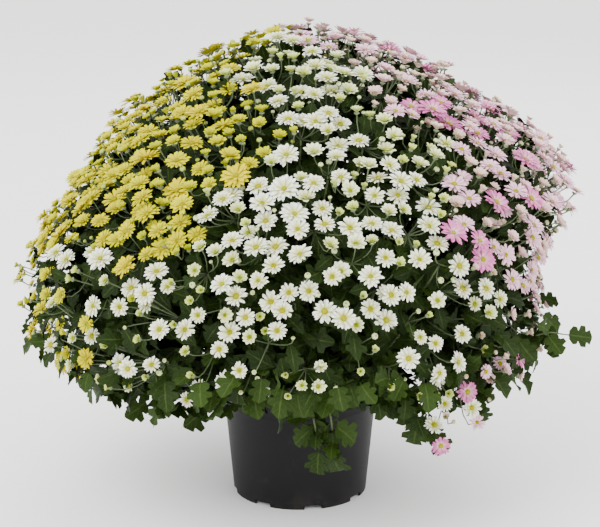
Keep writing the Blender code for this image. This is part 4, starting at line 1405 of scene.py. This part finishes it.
class CHRYSANTHEMUM_OT_leaves(bpy.types.Operator):
    """Grows lobed, veined leaves along every stem, round the skirt and on the shoots"""

    bl_idname = "chrysanthemum.leaves"
    bl_label = "Leaves"

    # The rows of a leaf's grid that are kept for the plainer leaves inside
    PLAIN_ROWS = [0, 2, 4, 5, 6, 7, 8, 10]

    def execute(self, context):
        settings = context.scene.chrysanthemum_plant
        colours = context.scene.chrysanthemum_colours
        growth = Growth(settings)
        random = np.random.default_rng(SEED + 4)
        material = leaf_finish("leaf_blade", colours.leaf_dark, colours.leaf_light)
        outer = [self._on_stems(growth, settings, random), self._on_skirt(settings, random)]
        inner = self._inside(settings, random)
        for number, plant in enumerate(PLANTS):
            shoots = [shoot[1:] for shoot in SHOOTS if shoot[0] == plant]
            sets = outer + [self._on_shoot(*shoot, number, random) for shoot in shoots]
            surface = Surface()
            grid = self._own(number, [np.concatenate(part) for part in zip(*sets)], random)
            tile = random.integers(OUTER_LEAF_TILE, LEAF_TILES, len(grid))
            surface.add(grid, tile, LEAF_TILES, along=LEAF_ALONG)
            grid = self._own(number, inner, random)[:, self.PLAIN_ROWS, ::2]
            # The plainer inner leaves take the darkest tints: painted shade inside the ball
            tile = random.integers(0, SHADED_INNER_LEAF_TILES, len(grid))
            surface.add(grid, tile, LEAF_TILES, along=LEAF_ALONG[self.PLAIN_ROWS])
            nodes = plant_nodes(plant, "foliage")
            new_piece(f"{plant}_leaves", surface, material, nodes)
        return {"FINISHED"}

    @staticmethod
    def _own(number, leaves, random):
        """The grids of the leaves that belong to one plant."""
        *parts, owner = leaves
        return leaf_grids(*(part[owner == number] for part in parts), random)

    @staticmethod
    def _on_stems(growth, settings, random):
        """Leaves a golden angle apart round each stem; they shrink and rise towards its top."""
        paths = growth.stem_paths
        count, k = len(paths), np.arange(settings.leaves_a_stem)
        share = k[None] + random.uniform(0, STEM_LEAF_SLIP, (count, len(k)))
        share = STEM_LEAF_START + (1 - STEM_LEAF_START) * share / len(k)
        at = np.clip(share, 0, 1) * (STEM_STEPS - 1)
        low = np.minimum(at.astype(int), STEM_STEPS - 2)
        rows = np.arange(count)[:, None]
        rest = paths[rows, low + 1] - paths[rows, low]
        base = paths[rows, low] + (at - low)[..., None] * rest
        stem = unit(rest)
        first, second = frames(stem)
        turn = (GOLDEN_ANGLE * k[None] + random.uniform(0, 2 * math.pi, (count, 1)))[..., None]
        out = np.cos(turn) * first + np.sin(turn) * second
        outward = growth.stem_out[:, None]
        rise, more_rise = STEM_LEAF_RISE
        way = out + (rise + more_rise * share)[..., None] * stem + STEM_LEAF_OUT * outward
        way = unit(way + random.normal(0, STEM_LEAF_WAY, out.shape) - STEM_LEAF_DROOP * UP)
        by_out, by_up = STEM_LEAF_FACING
        facing = by_out * outward + by_up * UP + random.normal(0, STEM_LEAF_FACE, out.shape)
        face = unit(square_to(way, facing))
        full, less = STEM_LEAF_SHRINK
        size = settings.leaf_length * (full - less * share**3)
        size = size * random.uniform(*STEM_LEAF_SIZES, share.shape)
        base, way, face = (part.reshape(-1, 3) for part in (base, way, face))
        return base, way, face, size.ravel(), np.repeat(growth.stem_plant, len(k))

    @staticmethod
    def _inside(settings, random):
        """Leaves of the dense inside, which are seen dark between the outer ones, drawn with fewer faces.
        They are given the darkest tints, as painted shade.
        """
        count = settings.inner_leaves
        u = spiral(count, INNER_LAST_POLAR)
        u = unit(u + random.normal(0, INNER_TURN, u.shape))
        depth = random.uniform(*INNER_DEPTHS, count)
        base = place(u, depth)
        base[:, 2] = np.maximum(base[:, 2], INNER_LOWEST)
        out = dome_normal(u)
        way = unit(random.normal(0, 1, (count, 3)) + INNER_OUT * out)
        facing = out + random.normal(0, INNER_FACE, (count, 3)) + INNER_UP * UP
        size = settings.leaf_length * (INNER_SIZE + INNER_SIZE_DEPTH * depth)
        size = size * random.uniform(*SIZE_VARIES, count)
        return base, way, unit(square_to(way, facing)), size, plant_of(base)

    @staticmethod
    def _on_skirt(settings, random):
        """Leaves that hang out and down round the bottom edge of the ball, in uneven rows."""
        sets = []
        for polar, count, depth in SKIRT_ROWS:
            slip = random.uniform(-SKIRT_SLIP, SKIRT_SLIP, count)
            azimuth = 2 * math.pi * (np.arange(count) + slip) / count
            u = direction(np.radians(polar + random.normal(0, SKIRT_TILT, count)), azimuth)
            base = place(u, depth + random.uniform(*SKIRT_SINK, count))
            hang = direction(np.radians(random.uniform(*SKIRT_HANG, count)), azimuth)
            way = unit(hang + random.normal(0, SKIRT_WAY, (count, 3)))
            facing = dome_normal(u) + SKIRT_UP * UP + random.normal(0, SKIRT_FACE, (count, 3))
            size = settings.leaf_length * random.uniform(*SKIRT_SIZES, count)
            sets.append((base, way, unit(square_to(way, facing)), size, plant_of(base)))
        return tuple(np.concatenate(part) for part in zip(*sets))

    @staticmethod
    def _on_shoot(route, leaves, number, random):
        """The leaves of a leafy shoot at their places along it, and small ones between them."""
        base = np.array([route[k] for k, _, _ in leaves])
        way = unit(np.array([way for _, way, _ in leaves]))
        size = np.array([size for _, _, size in leaves]) + SHOOT_LEAF_MORE
        more = polyline(route, SHOOT_STEPS)[SHOOT_SMALL_STEPS]
        out = unit(random.normal(0, 1, more.shape) + SHOOT_SMALL_WAY)
        base, way = np.vstack([base, more]), np.vstack([way, out])
        size = np.append(size, random.uniform(*SHOOT_SMALL_SIZES, len(more)))
        face = unit(square_to(way, np.broadcast_to(SHOOT_FACING, way.shape)))
        return base, way, face, size, np.full(len(base), number)


class CHRYSANTHEMUM_OT_stalks(bpy.types.Operator):
    """Grows the stalk and the green cup under every flower and bud"""

    bl_idname = "chrysanthemum.stalks"
    bl_label = "Stalks"

    def execute(self, context):
        settings = context.scene.chrysanthemum_plant
        growth = Growth(settings)
        random = np.random.default_rng(SEED + 5)
        material = stalk_finish("flower_stalk", STALK_FOOT, context.scene.chrysanthemum_colours.stalk)
        paths, radii = self._stalks(growth, settings.stalk_radius, random)
        for number, plant in enumerate(PLANTS):
            own = growth.plants == number
            surface = Surface()
            tile = random.integers(0, STALK_TILES, own.sum())
            surface.add(tubes(paths[own], radii[own], STALK_SIDES), tile, STALK_TILES, closed=True)
            new_piece(f"{plant}_stalks", surface, material)
        return {"FINISHED"}

    @staticmethod
    def _stalks(growth, radius, random):
        """Paths and radii: a curve from the stem's top that comes up behind the flower, then the cup."""
        sizes = (STALK_ENDS, CUP_RADII, CUP_HEIGHTS)
        below, cup, height = (np.choose(growth.kinds, size)[:, None] for size in sizes)
        ends = growth.centres - below * growth.faces
        starts = growth.stem_tops[growth.stem_of]
        length = np.linalg.norm(ends - starts, axis=1)[:, None]
        paths = bend(starts, ends - STALK_BOW * length * growth.faces, ends, STALK_STEPS)
        tops = [ends + up * height * growth.faces for up, _ in CUP_RINGS]
        stalk = np.full((len(ends), STALK_STEPS), radius) * random.uniform(*SIZE_VARIES, (len(ends), 1))
        stalk[:, [0, -1]] *= STALK_KNOT
        rings = cup * [out for _, out in CUP_RINGS]
        return np.concatenate([paths, np.stack(tops, axis=1)], axis=1), np.hstack([stalk, rings])


class CHRYSANTHEMUM_OT_blooms(bpy.types.Operator):
    """Opens the blooms: rows of ray petals round a domed disc of florets"""

    bl_idname = "chrysanthemum.blooms"
    bl_label = "Blooms"

    def execute(self, context):
        radius = context.scene.chrysanthemum_plant.bloom_radius
        colours = context.scene.chrysanthemum_colours
        growth = Growth(context.scene.chrysanthemum_plant)
        random = np.random.default_rng(SEED + 6)
        strong = self._strong_pinks(growth)
        growth.age[strong] = np.maximum(growth.age[strong], STRONG_AGE)
        ripe = (growth.kinds == OPEN) & (growth.age > RIPE_AGE)
        young = (growth.kinds == OPEN) & ~ripe
        half = growth.kinds == HALF
        for number, plant in enumerate(PLANTS):
            petals, discs = Surface(), Surface()
            for kind, rows in ((ripe, RIPE_ROWS), (young, YOUNG_ROWS), (half, HALF_ROWS)):
                own = np.flatnonzero((growth.plants == number) & kind)
                if kind is half:
                    openness, age, length, core = self._half_open(len(own), radius, random)
                else:
                    openness, age, length, core = self._open(growth, own, strong[own], radius, random)
                where = growth.centres[own], growth.faces[own]
                turns = growth.turns[own]
                grids, owners, parts = petal_grids(*where, turns, openness, length, core, rows, random)
                petals.add(grids, 2 * age[owners] + parts % 2, PETAL_TILES)
                discs.add(self._discs(*where, core), 2 * age, PETAL_TILES, closed=True)
            young_tint, old_tint, base_tint, reach = PETAL_TINTS[plant]
            ripe_tint = getattr(colours, plant)
            finish = petal_finish(f"{plant}_petal", young_tint, ripe_tint, old_tint, base_tint, reach)
            new_piece(f"{plant}_petals", petals, finish, plant_nodes(plant, "spray"))
            finish = disc_finish(f"{plant}_disc", YOUNG_DISC, colours.gold)
            new_piece(f"{plant}_discs", discs, finish)
        return {"FINISHED"}

    @staticmethod
    def _open(growth, own, strong, radius, random):
        """How open each open bloom is, its age's number, its petals' length and its disc's radius."""
        age = growth.age[own]
        openness = np.clip(OPENNESS_YOUNG + OPENNESS_MORE * age, 0, 1)
        size = SIZE_YOUNG + SIZE_MORE * np.clip(age * SIZE_RIPENING, 0, 1)
        high = ramp(growth.centres[own, 2], SIZE_LOW_HEIGHT, SIZE_LOW_BAND)
        size = size * (SIZE_LOW + (1 - SIZE_LOW) * high)
        length = radius * size * random.uniform(*SIZE_SPREAD, len(own)) * np.where(strong, STRONG_SIZE, 1.0)
        core = (CORE_YOUNG + CORE_MORE * age) * random.uniform(*CORE_SPREAD, len(own))
        number = FIRST_OPEN_AGE + np.floor(OPEN_AGES * age).astype(int)
        return openness, np.where(strong, OLDEST_AGE, number), length, core

    @staticmethod
    def _half_open(count, radius, random):
        """The same four for half-open blooms, which are all young."""
        openness = random.uniform(*HALF_OPENNESS, count)
        age = random.integers(0, FIRST_OPEN_AGE + 1, count)
        return openness, age, radius * random.uniform(*HALF_SIZES, count), np.full(count, HALF_CORE)

    @staticmethod
    def _strong_pinks(growth):
        """Marks the open bloom nearest to each of the photograph's stronger pinks, on the side it shows.

        Of the other open blooms one in twenty is marked, and more of the low ones.
        """
        pixels = photo_pixels(growth.centres)
        is_open = growth.kinds == OPEN
        seen = is_open & (growth.faces[:, 1] < FACES_AWAY) & (growth.plants == PINK)
        strong = np.zeros(len(pixels), bool)
        for spot in STRONG_PINKS:
            strong[np.where(seen, np.linalg.norm(pixels - spot, axis=1), np.inf).argmin()] = True
        low = ramp(growth.centres[:, 2], STRONG_LOW_HEIGHT, -STRONG_LOW_BAND)
        by_chance = growth.random.uniform(0, 1, len(pixels)) < STRONG_SHARE + STRONG_MORE_LOW * low
        return strong | (by_chance & is_open)

    @staticmethod
    def _discs(centres, faces, core):
        """Domed discs: rings of radius core * width * cos(e) at height lift + core * height * sin(e)."""
        angle = np.radians(DISC_RINGS)
        out = DISC_WIDTH * core[:, None] * np.cos(angle)
        up = DISC_LIFT + DISC_HEIGHT * core[:, None] * np.sin(angle)
        grid = centres[:, None, None] + out[..., None, None] * circles(*frames(faces), DISC_SIDES)[:, None]
        return grid + up[..., None, None] * faces[:, None, None]


class CHRYSANTHEMUM_OT_buds(bpy.types.Operator):
    """Grows round buds with green sepals and the petals just showing"""

    bl_idname = "chrysanthemum.buds"
    bl_label = "Buds"

    def execute(self, context):
        growth = Growth(context.scene.chrysanthemum_plant)
        random = np.random.default_rng(SEED + 7)
        for number, plant in enumerate(PLANTS):
            own = (growth.plants == number) & (growth.kinds == BUD)
            grid = self._buds(growth.centres[own], growth.faces[own], random)
            surface = Surface()
            surface.add(grid, random.integers(0, STALK_TILES, len(grid)), STALK_TILES, closed=True)
            finish = bud_finish(f"{plant}_bud", BUD_TINTS[plant], SEPAL)
            new_piece(f"{plant}_buds", surface, finish)
        return {"FINISHED"}

    @staticmethod
    def _buds(centres, faces, random):
        """Buds: rings of radius size * sin(polar) at height size * (tall * cos(polar) - sink)."""
        size = random.uniform(*BUD_SIZES, len(centres))[:, None]
        polar = np.radians(BUD_RINGS)
        out = size * np.sin(polar)
        up = BUD_TALL * size * np.cos(polar) - BUD_SINK * size
        grid = centres[:, None, None] + out[..., None, None] * circles(*frames(faces), BUD_SIDES)[:, None]
        return grid + up[..., None, None] * faces[:, None, None]


class CHRYSANTHEMUM_PT_panel(bpy.types.Panel):
    """Lists the steps that make the plant"""

    bl_label = "Pot Chrysanthemum"
    bl_space_type = "VIEW_3D"
    bl_region_type = "UI"
    bl_category = "Chrysanthemum"

    def draw(self, context):
        layout = self.layout
        for settings in SETTINGS:
            group = getattr(context.scene, settings)
            box = layout.box()
            for name in group.bl_rna.properties.keys():
                if name not in ("rna_type", "name"):
                    box.prop(group, name)
        for operator in OPERATORS:
            layout.operator(operator.bl_idname)


SETTINGS = {
    "chrysanthemum_plant": PlantSettings,
    "chrysanthemum_colours": ColourSettings,
    "chrysanthemum_stage": StageSettings,
}
OPERATORS = (
    CHRYSANTHEMUM_OT_stage,
    CHRYSANTHEMUM_OT_pot,
    CHRYSANTHEMUM_OT_soil,
    CHRYSANTHEMUM_OT_stems,
    CHRYSANTHEMUM_OT_leaves,
    CHRYSANTHEMUM_OT_stalks,
    CHRYSANTHEMUM_OT_blooms,
    CHRYSANTHEMUM_OT_buds,
)


def register():
    for group in SETTINGS.values():
        bpy.utils.register_class(group)
    for name, group in SETTINGS.items():
        setattr(bpy.types.Scene, name, bpy.props.PointerProperty(type=group))
    for operator in OPERATORS:
        bpy.utils.register_class(operator)
    bpy.utils.register_class(CHRYSANTHEMUM_PT_panel)


def unregister():
    bpy.utils.unregister_class(CHRYSANTHEMUM_PT_panel)
    for operator in reversed(OPERATORS):
        bpy.utils.unregister_class(operator)
    for name in SETTINGS:
        delattr(bpy.types.Scene, name)
    for group in SETTINGS.values():
        bpy.utils.unregister_class(group)


def main():
    """Makes every piece in order."""
    register()
    for operator in OPERATORS:
        getattr(bpy.ops.chrysanthemum, operator.bl_idname.split(".")[1])()


if __name__ == "__main__":
    main()
